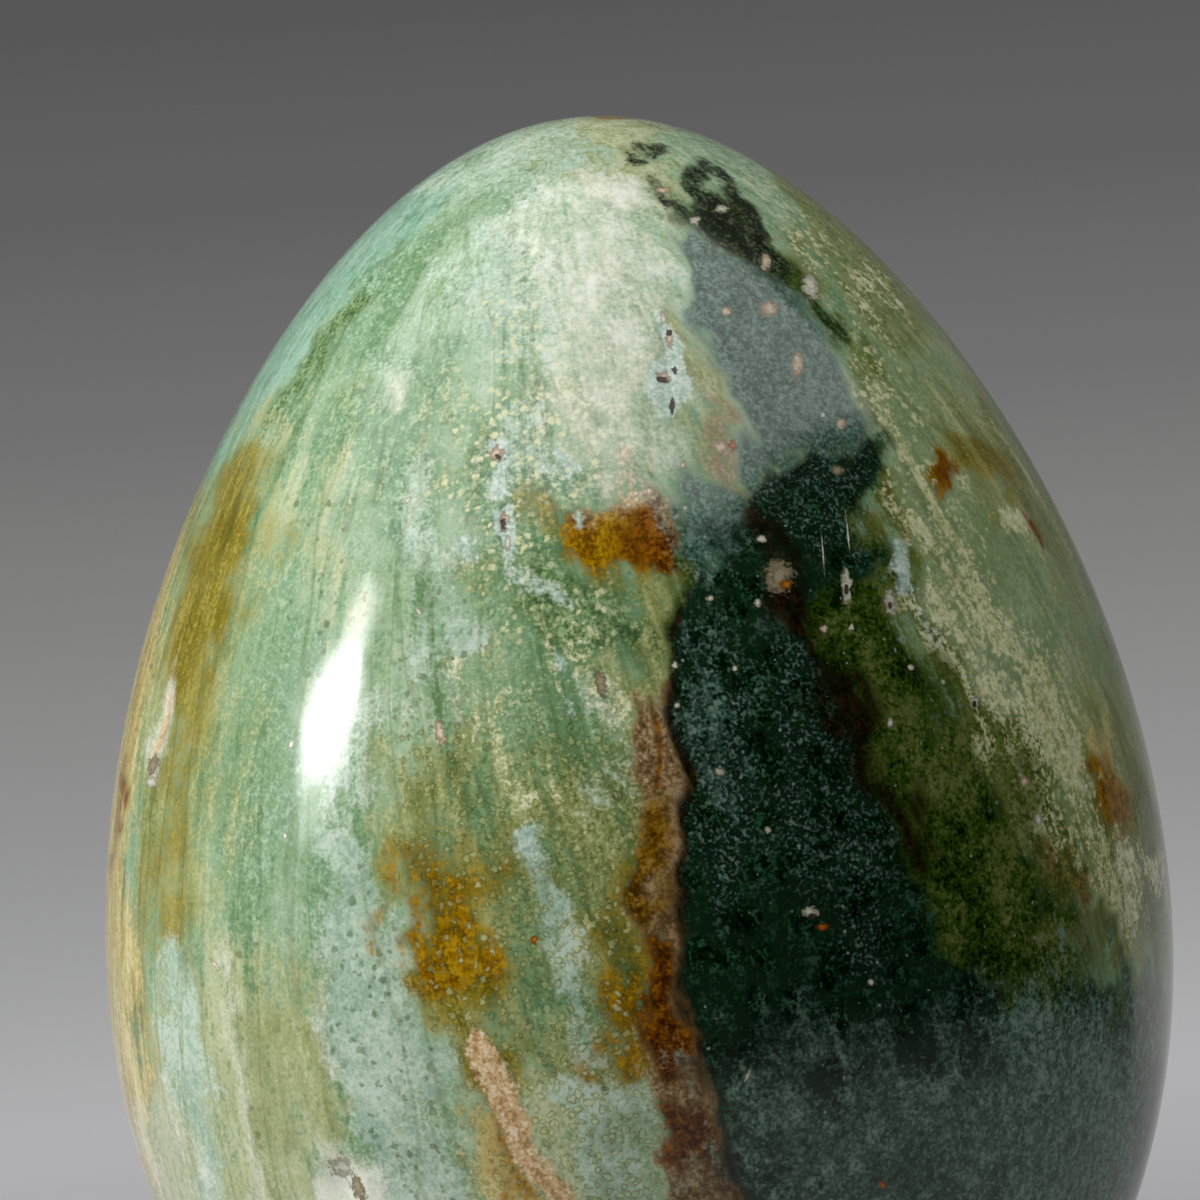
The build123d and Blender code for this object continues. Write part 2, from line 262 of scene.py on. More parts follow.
# Zones by tint
stoneZones = {
    "jade": {  # blue-green of the upper left
        "rim": patch((470, 188), (412, 238), (365, 288), (330, 335), (290, 388), (255, 432), (225, 480),
            (150, 470), (230, 300), (380, 150), (450, 130), soft=1.4),
        "back": farPatch((168, 90), (192, 84), (200, 55), (192, 30), (172, 22), (164, 50), soft=2.0),
    },
    "meadow": {  # deeper green
        "leftBand": patch((245, 560), (275, 550), (296, 580), (300, 640), (292, 720), (302, 800),
            (308, 870), (290, 905), (250, 912), (228, 890), (218, 840), (228, 760), (240, 690), soft=1.4,
            fill=0.1),
        "upperLine": vein((368, 280), (345, 324), (324, 352), (302, 380), (274, 420), (250, 460), width=2.6,
            soft=0.7, fill=2.6),
        "shoulder": vein((500, 202), (457, 222), (419, 253), (395, 290), (375, 340), width=2.4, soft=1.2,
            fill=0.3),
        "upperLeft": patch((362, 440), (392, 410), (430, 425), (455, 480), (440, 545), (395, 560),
            (362, 520), soft=1.3, fill=1.2),
        "dots": patch((450, 430), (520, 400), (575, 430), (640, 470), (650, 500), (560, 500), (548, 560),
            (500, 585), (455, 540), soft=1.5, fill=1.3),
        "lowRings": patch((556, 880), (600, 860), (630, 890), (640, 980), (610, 985), (570, 930), soft=1.0,
            fill=0.4),
        "upperBand": patch((325, 410), (370, 385), (415, 340), (470, 345), (460, 410), (410, 440),
            (365, 490), (330, 475), soft=1.6, fill=0.5),
        "besideVug": vein((466, 420), (472, 470), (470, 525), width=2.4, soft=1.0, fill=0.5),
        "underDots": patch((450, 490), (520, 478), (570, 560), (640, 580), (640, 640), (560, 660),
            (480, 640), (450, 570), soft=1.8, fill=0.2),
    },
    "fern": {  # dark green of the middle
        "upper": patch((530, 500), (560, 490), (566, 540), (545, 560), (525, 540), soft=0.9, fill=0.6),
        "lowLeft": vein((240, 1000), (252, 1080), (262, 1160), (275, 1240), width=1.2, soft=0.8, fill=0.1),
        "lower": patch((570, 780), (610, 770), (632, 820), (630, 900), (600, 880), (575, 840), soft=1.2,
            fill=0.8),
        "lowest": patch((566, 900), (600, 885), (640, 930), (640, 980), (600, 990), (580, 950), soft=0.9,
            fill=1.6),
        "centre": patch((520, 770), (570, 760), (640, 750), (655, 800), (660, 900), (655, 960), (600, 980),
            (560, 900), (530, 830), soft=1.6, fill=0.4),
        "underGold": patch((500, 560), (560, 545), (600, 575), (700, 575), (700, 690), (600, 670),
            (540, 650), (505, 620), soft=1.2, fill=2.0),
        "upperLine": vein((350, 315), (324, 352), (302, 380), (274, 420), width=1.8, soft=0.7, fill=1.4),
        "dots": patch((468, 440), (540, 415), (600, 450), (648, 500), (600, 500), (548, 510), (552, 570),
            (530, 620), (484, 590), (462, 510), soft=1.4, fill=-0.2),
        "lowCentre": vein((584, 775), (592, 840), width=2.2, soft=1.1, fill=0.2),
    },
    "straw": {  # pale yellow-green
        "lowLeft": patch((160, 960), (230, 940), (330, 980), (345, 1100), (340, 1240), (190, 1320),
            (150, 1150), soft=2.0, fill=1.0),
        "upper": patch((262, 440), (300, 430), (335, 470), (330, 560), (280, 580), (262, 520), soft=1.6,
            fill=-0.2),
        "middle": patch((420, 720), (450, 720), (480, 770), (470, 800), (430, 790), soft=1.0, fill=0.7),
        "low": patch((540, 1080), (600, 1060), (650, 1080), (690, 1240), (560, 1240), soft=1.4, fill=0.6),
        "back": farPatch((-150, 70), (-128, 60), (-130, 30), (-150, 24), (-164, 44), soft=2.4),
        "tip": patch((510, 146), (545, 122), (620, 116), (650, 150), (690, 190), (660, 230), (600, 180),
            (540, 176), soft=1.2, fill=1.6),
        "seamTop": patch((646, 592), (672, 598), (668, 650), (672, 705), (642, 705), (640, 650), soft=0.5,
            fill=0.3),
    },
    "aqua": {  # pale blue-green patches and channels, and a glow painted round the key highlight
        "field": patch((318, 815), (345, 830), (364, 840), (384, 875), (396, 930), (412, 985), (424, 1025),
            (440, 1060), (452, 1120), (462, 1180), (490, 1330), (400, 1330), (360, 1150), (340, 1100),
            (328, 1020), (322, 940), (316, 870), soft=0.8),
        "channel": vein((526, 850), (541, 890), (551, 940), (568, 990), (592, 1042), width=1.1, soft=0.5),
        "channelTop": patch((515, 838), (550, 850), (565, 890), (545, 910), (525, 880), soft=0.5),
        "low": patch((575, 1085), (610, 1075), (640, 1100), (655, 1150), (680, 1300), (620, 1300),
            (585, 1160), soft=0.8, fill=0.5),
        "leftLow": vein((180, 985), (192, 1080), (205, 1160), (235, 1280), width=3.4, soft=1.4, fill=0.9),
        "blob": patch((438, 613), (461, 613), (464, 640), (458, 672), (440, 668), (436, 640), soft=0.4),
        "centre": patch((560, 690), (600, 690), (612, 740), (604, 780), (580, 784), (556, 750), soft=1.2,
            fill=-0.1),
        "streak": vein((412, 470), (425, 560), (440, 640), (432, 720), width=1.8, soft=0.8, fill=0.2),
        "tip": patch((440, 170), (500, 130), (570, 120), (600, 140), (560, 190), (500, 200), soft=1.4,
            fill=0.4),
        "shoulder": patch((470, 235), (540, 215), (560, 260), (555, 330), (500, 350), (455, 310), soft=1.6,
            fill=0.7),
        "upper": patch((502, 425), (545, 420), (550, 476), (508, 480), soft=1.2, fill=0.1),
        # painted highlight: a pale glow beside and below the key light's highlight
        "paintedHighlightGlow": patch((330, 745), (384, 676), (398, 700), (362, 752), (344, 805), (328, 805), soft=1.0,
            fill=0.2),
    },
    "olive": {  # olive green
        "leftSide": patch((246, 430), (270, 470), (262, 560), (252, 600), (246, 660), (238, 720),
            (228, 790), (216, 860), (205, 940), (170, 970), (140, 900), (130, 800), (150, 650), (190, 520),
            soft=2.0, fill=0.8),
        "leftStreak": vein((190, 720), (180, 820), (172, 920), (172, 1020), (185, 1120), (215, 1280),
            width=1.5, soft=1.0, fill=0.4),
        "rimStreak": vein((150, 780), (138, 880), (138, 980), (145, 1080), (165, 1200), (190, 1300),
            width=1.8, soft=0.9, fill=0.9),
        "lowLeft": patch((243, 985), (285, 960), (322, 985), (330, 1060), (325, 1119), (300, 1160),
            (270, 1140), (252, 1090), soft=1.6, fill=0.0),
        "patch": patch((376, 780), (410, 756), (452, 770), (502, 796), (535, 814), (545, 850), (528, 870),
            (530, 910), (522, 960), (512, 1010), (500, 1050), (470, 1055), (444, 1030), (414, 985),
            (394, 930), (380, 870), (368, 820), soft=1.4, fill=1.1),
        "seamSide": vein((618, 700), (616, 780), (622, 850), (624, 930), (632, 980), width=2.4, soft=1.0,
            fill=0.8),
        "lowMiddle": patch((540, 980), (575, 1000), (600, 1050), (580, 1090), (540, 1080), (510, 1040),
            soft=1.0, fill=0.2),
        "vugLine": vein((659, 340), (637, 368), (635, 395), (648, 430), (655, 470), width=0.2, soft=0.2),
        "scatter": patch((340, 420), (470, 420), (480, 700), (400, 720), (350, 640), soft=2.0, fill=-0.9),
        "top": patch((560, 380), (600, 350), (640, 420), (620, 480), (570, 470), soft=1.6, fill=-0.4),
        "back": farPatch((150, 96), (158, 80), (150, 62), (158, 44), (172, 30), (186, 38), (178, 58),
            (176, 78), (168, 96), soft=2.4, fill=0.8),
        "backLeft": farPatch((-118, 84), (-100, 70), (-106, 44), (-98, 20), (-124, 14), (-134, 40),
            (-130, 66), soft=2.4, fill=0.9),
        "centre": patch((430, 700), (520, 730), (600, 760), (650, 820), (660, 960), (650, 1080),
            (560, 1095), (500, 1060), (470, 960), (440, 850), soft=2.0, fill=0.55),
        "seamTop": patch((634, 584), (668, 578), (710, 574), (706, 650), (710, 720), (634, 722), soft=0.6,
            fill=0.9),
        "rightRim": patch((1065, 690), (1110, 690), (1150, 760), (1180, 860), (1180, 960), (1110, 960),
            (1085, 880), (1070, 780), soft=1.0, fill=1.1),
        "right": patch((940, 395), (985, 395), (1015, 450), (1035, 500), (985, 505), (950, 480), soft=1.0,
            fill=1.4),
        "rightUnder": patch((1005, 500), (1050, 500), (1075, 545), (1060, 575), (1020, 560), soft=1.0,
            fill=0.8),
        "veilSide": vein((694, 330), (706, 380), (720, 430), (735, 478), width=2.2, soft=0.9, fill=0.8),
    },
    "ochre": {  # deep olive-ochre
        "patchLow": patch((428, 960), (470, 940), (510, 960), (506, 1010), (490, 1045), (465, 1040),
            (440, 1010), soft=1.0, fill=1.2),
        "patchRight": patch((598, 955), (640, 936), (670, 985), (670, 1055), (640, 1085), (610, 1065),
            (596, 1010), soft=0.8, fill=2.4),
        "seamSide": vein((630, 880), (636, 930), (640, 970), width=1.0, soft=0.7, fill=0.6),
        "right": patch((948, 432), (985, 432), (1008, 460), (1012, 492), (970, 486), soft=0.6, fill=2.2),
        "rightLow": patch((1085, 745), (1120, 750), (1145, 800), (1140, 850), (1110, 850), (1092, 810),
            soft=0.8, fill=0.8),
        "goldEdge": vein((548, 520), (575, 545), (610, 572), (640, 580), width=1.0, soft=0.8, fill=0.3),
        "backBand": farPatch((-102, 62), (-94, 50), (-98, 30), (-110, 34), (-112, 52), soft=1.8),
        "patchAll": patch((402, 872), (432, 846), (484, 838), (498, 880), (502, 960), (500, 1020),
            (486, 1052), (446, 1036), (414, 978), (398, 915), soft=1.3, fill=1.4),
        "leftTop": patch((236, 500), (246, 540), (230, 610), (206, 655), (176, 680), (166, 660), (190, 600),
            (214, 540), soft=1.0, fill=0.9),
        "low": vein((460, 1040), (474, 1090), (496, 1140), (516, 1190), width=2.0, soft=0.8, fill=0.3),
        "lowRight": patch((572, 905), (612, 895), (640, 930), (640, 975), (600, 990), (580, 950), soft=1.0,
            fill=0.5),
    },
    "khaki": {  # streaky khaki of the left side
        "side": patch((236, 452), (258, 462), (256, 530), (242, 590), (226, 640), (208, 690), (196, 730),
            (164, 720), (156, 670), (180, 590), (205, 500), soft=1.4, fill=1.2),
        "rimLow": vein((140, 860), (138, 960), (148, 1060), (168, 1160), (195, 1280), width=1.6, soft=1.2,
            fill=-0.3),
        "streak": vein((186, 880), (196, 980), (212, 1080), (232, 1180), (255, 1280), width=0.8, soft=1.0,
            fill=-0.8),
        "back": farPatch((-90, 80), (-76, 66), (-80, 30), (-96, 20), (-104, 50), soft=2.4, fill=0.6),
        "sideLow": vein((184, 700), (176, 780), (168, 860), (164, 940), width=2.0, soft=1.0, fill=0.2),
    },
    "thicket": {  # mottled green between the dark stone and the right shoulder
        "edge": patch((880, 560), (908, 556), (940, 606), (968, 660), (1004, 704), (1044, 760), (1076, 810),
            (1092, 890), (1050, 900), (990, 835), (940, 760), (905, 690), (878, 620), soft=0.8, fill=0.9),
        "upper": patch((800, 240), (830, 262), (866, 320), (890, 380), (880, 430), (868, 400), (845, 345),
            (812, 300), soft=0.8, fill=-0.4),
        "middle": patch((884, 450), (905, 470), (912, 520), (900, 545), (884, 530), soft=0.8, fill=0.6),
        "back": farPatch((70, 60), (84, 50), (86, 24), (72, 20), (62, 40), soft=2.0, fill=0.5),
        "specks": vein((800, 170), (860, 260), (910, 350), (935, 420), (930, 470), width=5.0, soft=1.4,
            fill=-1.2),
    },
    "primrose": {  # pale yellow lumps and streaks of the right side
        "streak": vein((893, 420), (915, 465), (940, 515), (962, 555), (982, 597), (1000, 648), width=0.7,
            soft=0.25, fill=0.9),
        "streakWide": vein((930, 545), (955, 580), (985, 625), width=3.4, soft=0.8, fill=0.2),
        "chain": vein((790, 220), (838, 290), (875, 340), (892, 400), (890, 452), width=1.2, soft=0.6,
            fill=-0.7),
        "chainTop": patch((862, 262), (884, 270), (892, 310), (876, 316), (866, 290), soft=0.8, fill=-0.4),
        "lumps": vein((948, 600), (962, 626), (976, 652), width=1.2, soft=0.4, fill=0.4),
        "lumpsLow": vein((980, 670), (992, 684), (1004, 702), width=1.0, soft=0.4, fill=0.2),
        "lumpsHigh": vein((952, 490), (970, 500), (988, 516), width=1.2, soft=0.5, fill=-0.1),
        "big": patch((1012, 656), (1036, 658), (1056, 700), (1078, 744), (1084, 796), (1062, 784),
            (1042, 738), (1018, 702), soft=0.4, fill=1.0),
        "rim": patch((994, 508), (1014, 510), (1024, 528), (1008, 536), (996, 526), soft=0.4, fill=1.0),
        "mottle": patch((930, 620), (990, 620), (1040, 690), (1070, 770), (1086, 850), (1150, 950),
            (1110, 960), (1076, 880), (1030, 820), (985, 745), soft=0.9, fill=-0.5),
        "low": patch((1084, 830), (1120, 835), (1165, 870), (1170, 910), (1115, 905), (1090, 880), soft=0.9,
            fill=0.1),
        "centre": patch((440, 715), (500, 700), (560, 676), (596, 680), (592, 750), (545, 765), (500, 792),
            (455, 796), soft=1.8, fill=-0.4),
        "blob": patch((1020, 666), (1046, 662), (1062, 700), (1052, 728), (1030, 706), soft=0.6, fill=1.2),
        "rimMid": vein((1078, 800), (1096, 850), width=2.0, soft=0.9, fill=0.2),
        "topMoss": vein((925, 615), (950, 660), width=1.6, soft=0.8, fill=0.0),
    },
    "tawny": {  # gold-brown of the seam
        "seam": vein((652, 820), (648, 850), (657, 902), width=1.5, soft=0.5, fill=1.3),
        "low": vein((664, 1000), (672, 1060), width=1.4, soft=0.7, fill=0.0),
        "wedge": patch((905, 822), (930, 828), (938, 862), (922, 890), (906, 868), soft=0.8, fill=0.2),
        "mossEdge": vein((1050, 846), (1074, 880), (1082, 915), (1074, 953), width=1.2, soft=0.6,
            fill=-0.1),
        "mossTop": vein((880, 770), (905, 785), (930, 770), width=1.4, soft=0.9, fill=-0.3),
    },
    "amber": {  # gold-brown cores
        "gold": patch((558, 514), (575, 505), (612, 506), (650, 500), (676, 530), (660, 575), (622, 570),
            (602, 572), (586, 552), (564, 542), soft=0.4),
        "patchCore": patch((416, 884), (446, 868), (474, 890), (480, 930), (466, 985), (434, 974),
            (414, 930), soft=1.3, fill=0.4),
        "rightRim": patch((922, 466), (942, 456), (960, 472), (954, 500), (932, 498), soft=0.5, fill=2.4),
        "lowEdge": vein((470, 1055), (482, 1095), (505, 1130), (525, 1170), (548, 1220), width=0.4,
            soft=0.4, fill=0.3),
        "topSpot": vein((588, 116), (616, 119), width=0.9, soft=0.4),
        "loop": vein((884, 535), (880, 505), (893, 492), (905, 515), (906, 540), width=0.6, soft=0.35),
        "back": farPatch((160, 70), (166, 56), (164, 44), (172, 40), (174, 58), (168, 72), soft=1.6),
        "orange": patch((1084, 750), (1110, 752), (1132, 782), (1142, 828), (1114, 834), (1092, 800),
            soft=0.45),
        "patchRight": patch((606, 985), (640, 960), (660, 1000), (654, 1054), (620, 1066), (606, 1042),
            soft=0.8, fill=0.3),
        "low": patch((480, 1112), (500, 1100), (525, 1140), (548, 1195), (520, 1205), (490, 1165), soft=0.9,
            fill=-0.3),
        "corner": vein((416, 912), (434, 878), width=2.0, soft=1.0, fill=0.2),
        "rimLow": vein((1104, 785), (1124, 840), width=1.6, soft=0.9, fill=-0.1),
    },
    "honey": {  # pale gold
        "leftRim": patch((205, 470), (170, 590), (146, 700), (132, 800), (124, 860), (132, 950),
            (146, 1060), (170, 1220), (60, 1260), (60, 900), (100, 700), (150, 500), soft=1.1),
        "low": patch((466, 1130), (492, 1092), (520, 1125), (540, 1165), (556, 1200), (600, 1330),
            (500, 1330), soft=0.9, fill=2.2),
        "arc": vein((1051, 1147), (1076, 1129), (1107, 1101), (1117, 1086), width=0.16, soft=0.14),
        "rightRim": vein((1100, 740), (1135, 800), (1145, 860), (1152, 930), width=2.2, soft=1.0, fill=0.6),
        "rimLow": vein((1128, 1030), (1140, 1075), (1130, 1150), width=1.6, soft=1.0, fill=0.2),
        "back": farPatch((-126, 60), (-120, 44), (-126, 26), (-134, 30), (-136, 52), soft=1.8, fill=0.6),
    },
    "sage": {  # pale green of the right shoulder
        "shoulder": patch((735, 130), (770, 175), (800, 235), (830, 290), (862, 345), (885, 400),
            (892, 450), (892, 500), (886, 545), (905, 600), (935, 650), (965, 705), (1000, 760),
            (1040, 815), (1075, 860), (1092, 925), (1130, 960), (1230, 960), (1200, 600), (1040, 330),
            (900, 190), (780, 110), soft=0.8),
        "veilEdge": patch((800, 310), (840, 345), (870, 400), (872, 440), (845, 430), (825, 390),
            (805, 350), soft=0.8, fill=0.4),
        "low": patch((1130, 900), (1230, 900), (1230, 1000), (1160, 1000), (1140, 960), soft=1.0, fill=0.0),
        "back": farPatch((84, 92), (100, 84), (104, 60), (98, 36), (80, 30), (74, 60), soft=2.0, fill=0.9),
    },
    "grass": {  # darker olive green of the right shoulder
        "top": patch((735, 130), (770, 175), (800, 235), (840, 290), (880, 350), (930, 330), (880, 240),
            (800, 150), soft=1.4, fill=0.9),
        "beside": vein((790, 255), (825, 305), (855, 350), (880, 400), width=1.4, soft=0.8, fill=0.8),
        "middle": patch((890, 470), (925, 500), (940, 560), (915, 590), (890, 540), soft=0.8, fill=0.4),
        "lower": patch((915, 600), (950, 640), (985, 710), (1020, 770), (1040, 815), (1000, 790),
            (955, 720), (925, 660), soft=0.8, fill=0.9),
        "rim": vein((1060, 560), (1090, 650), (1120, 740), width=2.0, soft=1.4, fill=-0.1),
    },
    "moss": {  # dark olive green beside the wedge
        "right": patch((760, 490), (850, 430), (885, 440), (888, 500), (886, 560), (908, 622), (938, 694),
            (977, 755), (1012, 812), (1056, 868), (1078, 928), (1066, 990), (940, 1010), (880, 950),
            (850, 870), (815, 780), (780, 700), (745, 610), soft=1.2),
        "low": patch((980, 960), (1060, 940), (1110, 960), (1150, 970), (1240, 980), (1220, 1200),
            (1060, 1340), (960, 1420), (900, 1200), (930, 1040), soft=1.6, fill=1.4),
        "left": vein((690, 560), (676, 610), (672, 660), width=1.0, soft=0.5, fill=0.8),
        "back": farPatch((94, 30), (112, 16), (142, 20), (152, 40), (146, 62), (132, 76), (114, 68),
            (100, 50), soft=1.4),
        "inkTail": vein((770, 245), (795, 285), (820, 312), (838, 336), width=1.5, soft=0.5, fill=0.9),
        "inkEdge": vein((690, 215), (720, 235), (750, 262), width=1.6, soft=0.6, fill=0.7),
        "leftTop": patch((690, 500), (716, 490), (752, 490), (760, 560), (720, 600), (700, 570), soft=0.8,
            fill=0.2),
        "inkBand": patch((690, 202), (722, 186), (748, 200), (768, 226), (792, 272), (782, 284), (740, 258),
            (702, 228), soft=0.5, fill=2.0),
        "rim": vein((1100, 922), (1108, 955), (1112, 985), width=1.7, soft=0.9, fill=0.0),
        "rightEdge": vein((1020, 800), (1044, 845), width=1.8, soft=1.0, fill=-0.2),
    },
    "bottle": {  # black-green wedge
        "wedge": patch((704, 555), (684, 596), (669, 650), (668, 705), (680, 760), (686, 800), (680, 851),
            (677, 884), (682, 943), (685, 994), (694, 1042), (705, 1093), (727, 1144), (746, 1200),
            (790, 1320), (850, 1430), (940, 1480), (1000, 1400), (1010, 1250), (1000, 1120), (1010, 1010),
            (950, 960), (912, 880), (880, 810), (850, 730), (815, 650), (775, 590), (745, 560), soft=0.4),
        "upper": patch((752, 490), (790, 455), (850, 425), (876, 430), (880, 480), (850, 520), (800, 560),
            (760, 570), (740, 550), soft=0.6),
        "bridge": patch((700, 540), (740, 500), (790, 500), (850, 515), (870, 560), (800, 620), (720, 600),
            soft=0.8),
        "back": farPatch((106, 34), (120, 26), (138, 32), (142, 46), (130, 62), (116, 56), soft=0.6),
    },
    "smoke": {  # dark grey-green stone above the wedge and low on the right, partly painted reflection: above the wedge it is painted paler in the outline of the overhead panel's reflection, and low on the right it paints the floor's reflection
        # painted reflection over grey-green stone: the outline of the overhead panel's reflection on the dark
        # stone above the wedge
        "upper": patch((674, 234), (700, 240), (760, 262), (800, 300), (838, 352), (866, 415), (860, 440),
            (800, 455), (755, 490), (748, 450), (735, 400), (718, 360), (703, 310), (688, 270), soft=0.5),
        "left": patch((676, 440), (700, 462), (724, 476), (748, 486), (744, 530), (706, 548), (690, 510),
            soft=0.8, fill=0.8),
        # painted reflection: the haze of the floor reflected low on the right side, with a wide soft edge
        "low": patch((735, 1090), (790, 1060), (860, 1052), (940, 1040), (1000, 1010), (1100, 985),
            (1150, 1010), (1130, 1240), (1000, 1440), (880, 1440), (790, 1310), soft=3.4, fill=1.2),
        "back": farPatch((140, 60), (150, 56), (152, 74), (140, 88), (130, 80), soft=1.2, fill=0.7),
        "upperLeft": vein((714, 520), (724, 562), (742, 614), width=2.6, soft=1.4, fill=-0.7),
        "leftEdge": vein((704, 655), (714, 700), (720, 760), width=2.2, soft=1.4, fill=-0.5),
    },
    "umber": {  # dark red-brown seams
        "wedgeEdge": vein((752, 500), (776, 560), (792, 610), (818, 655), (842, 700), (854, 740),
            (884, 800), (914, 850), width=1.5, soft=0.9, fill=0.7),
        "leftEdge": vein((684, 596), (671, 650), (669, 705), (681, 760), (687, 800), (681, 851), (678, 884),
            (683, 943), (686, 994), (695, 1042), (706, 1093), (728, 1144), (748, 1200), width=0.35,
            soft=0.3, fill=0.7),
        "back": farPatch((126, 72), (138, 58), (146, 40), (142, 38), (134, 54), (122, 68), soft=0.8,
            fill=0.7),
        # painted shade: sparse dark brown that dims the lower end of the painted reflection above the wedge
        "veilLow": patch((728, 394), (798, 390), (806, 450), (770, 476), (735, 450), soft=1.6, fill=-1.2),
    },
    "cream": {  # cream and bone
        "patch": patch((572, 212), (606, 205), (628, 250), (634, 310), (636, 380), (640, 440), (634, 478),
            (612, 475), (596, 430), (580, 380), (568, 320), (562, 260), soft=1.6, fill=0.0),
        "patchCore": patch((576, 228), (606, 226), (624, 266), (626, 310), (608, 332), (586, 314), soft=1.0,
            fill=2.0),
        "patchLow": patch((594, 360), (626, 356), (638, 400), (632, 460), (608, 440), (596, 400), soft=1.6,
            fill=0.5),
        "top": patch((600, 172), (630, 178), (645, 212), (615, 220), (600, 205), soft=0.6),
        "leftPale": patch((380, 368), (400, 370), (402, 400), (388, 408), (378, 392), soft=0.6),
        "leftLine": vein((222, 960), (228, 1000), (238, 1068), (250, 1132), (270, 1260), width=0.3,
            soft=0.4, fill=-0.3),
        "middleLine": vein((318, 950), (322, 1010), (330, 1070), width=0.25, soft=0.4, fill=-0.4),
        "backVein": farPatch((-140, 92), (-136, 70), (-142, 50), (-136, 26), (-146, 12), (-150, 30),
            (-156, 50), (-148, 72), soft=1.2, fill=0.5),
        "lowVug": patch((320, 1148), (340, 1144), (380, 1176), (404, 1235), (330, 1235), soft=0.4),
        "topLeft": patch((530, 200), (580, 190), (600, 215), (560, 245), (528, 232), soft=1.2, fill=-0.3),
        "rimLow": patch((118, 1130), (180, 1130), (215, 1210), (230, 1290), (140, 1290), soft=1.6,
            fill=-0.3),
        "leftVug": vein((170, 686), (161, 724), (156, 752), width=1.6, soft=0.5, fill=0.6),
        "lower": patch((590, 375), (662, 375), (652, 440), (600, 452), soft=1.6, fill=-0.3),
    },
    "mauve": {  # pinkish brown of the seam
        "seam": patch((636, 690), (628, 720), (628, 760), (634, 810), (640, 850), (646, 900), (650, 950),
            (652, 1000), (648, 1040), (648, 1085), (660, 1140), (676, 1200), (700, 1250), (800, 1320),
            (790, 1240), (776, 1200), (756, 1144), (735, 1093), (724, 1042), (715, 994), (712, 943),
            (707, 884), (710, 851), (714, 800), (708, 760), (698, 705), (680, 680), soft=0.5, fill=1.6),
        "gold": patch((632, 488), (655, 476), (680, 500), (694, 560), (676, 566), (652, 520), soft=0.6,
            fill=1.2),
        "upper": vein((716, 415), (728, 440), (742, 478), width=1.0, soft=0.8, fill=0.0),
        "back": farPatch((90, 72), (94, 58), (90, 44), (84, 44), (84, 64), soft=0.8, fill=0.6),
    },
    "rust": {  # rust and orange-brown
        "patch": patch((628, 515), (648, 508), (670, 525), (686, 550), (688, 578), (655, 580), (636, 560),
            soft=0.5, fill=1.0),
        "seamLower": vein((662, 945), (668, 985), (670, 1020), (674, 1060), width=1.7, soft=0.6, fill=1.4),
        "seamFoot": patch((650, 1104), (698, 1096), (720, 1130), (736, 1166), (700, 1160), (662, 1150),
            soft=0.5),
        "seamLine": vein((652, 690), (658, 740), (655, 790), width=0.14, soft=0.18, fill=0.8),
        "below": vein((735, 1165), (752, 1230), (790, 1330), (850, 1430), width=1.2, soft=0.6, fill=0.8),
        "right": patch((936, 474), (950, 468), (962, 484), (950, 498), (940, 494), soft=0.5, fill=0.6),
        "rim": vein((1028, 520), (1040, 540), width=1.2, soft=0.8, fill=0.3),
        "leftTop": vein((122, 800), (112, 860), width=1.4, soft=1.0, fill=0.0),
        "orange": patch((1094, 772), (1112, 768), (1128, 792), (1130, 820), (1108, 816), soft=0.6,
            fill=-0.3),
        "rightRim": vein((1150, 800), (1156, 840), width=0.8, soft=0.6, fill=0.4),
        "back": farPatch((92, 84), (96, 66), (92, 46), (100, 26), (112, 10), (106, 8), (92, 24), (86, 46),
            (90, 68), soft=0.7, fill=0.7),
    },
    "blush": {  # pale pink and lilac
        "streak": vein((477, 1045), (492, 1088), (515, 1116), (533, 1152), (553, 1183), (600, 1290),
            width=1.2, soft=0.3),
        "leftVug": vein((169, 690), (160, 730), (156, 752), width=0.7, soft=0.5, fill=0.3),
        "goldTop": patch((618, 470), (640, 462), (650, 485), (632, 500), soft=0.6, fill=0.1),
    },
    "frost": {  # pale blue-white linings and spots
        "vugTail": vein((497, 448), (503, 470), (506, 490), width=0.9, soft=0.3),
        "vugFrame": patch((491, 508), (514, 508), (513, 534), (508, 560), (503, 562), (500, 536),
            (492, 532), soft=0.2),
        "vugFoot": vein((512, 575), (525, 590), (545, 588), (556, 598), width=0.5, soft=0.4, fill=0.0),
        "vug": patch((659, 312), (669, 322), (682, 335), (690, 342), (685, 362), (690, 388), (683, 412),
            (667, 418), (654, 405), (647, 385), (650, 362), (661, 352), (667, 345), (662, 328), soft=0.25),
        "spot": vein((560, 444), (572, 454), width=0.7, soft=0.3),
        "drop": vein((558, 659), (562, 685), width=0.5, soft=0.3, fill=0.6),
        "dropTail": vein((556, 700), (566, 722), width=0.4, soft=0.3, fill=0.4),
        "channel": vein((520, 850), (530, 858), width=0.9, soft=0.4),
        "paleBlob": vein((896, 549), (896, 566), (907, 590), width=0.9, soft=0.3, fill=0.9),
        "paleTail": vein((925, 600), (932, 620), (938, 645), width=0.5, soft=0.4, fill=-0.2),
        "low": patch((850, 1150), (1000, 1138), (1000, 1230), (860, 1230), soft=1.6, fill=-1.5),
        "spots": vein((548, 462), (556, 468), width=0.5, soft=0.3),
        "spotsLow": vein((575, 512), (579, 522), width=0.4, soft=0.3, fill=0.6),
        "spotsLeft": vein((455, 545), (462, 560), width=0.6, soft=0.4, fill=0.6),
    },
    "ink": {  # black marks near the tip
        "knot": patch((620, 142), (640, 138), (660, 142), (662, 160), (640, 166), (622, 160), soft=0.5,
            fill=0.3),
        "hook": vein((650, 180), (655, 195), (668, 203), (690, 208), width=0.6, soft=0.3, fill=0.6),
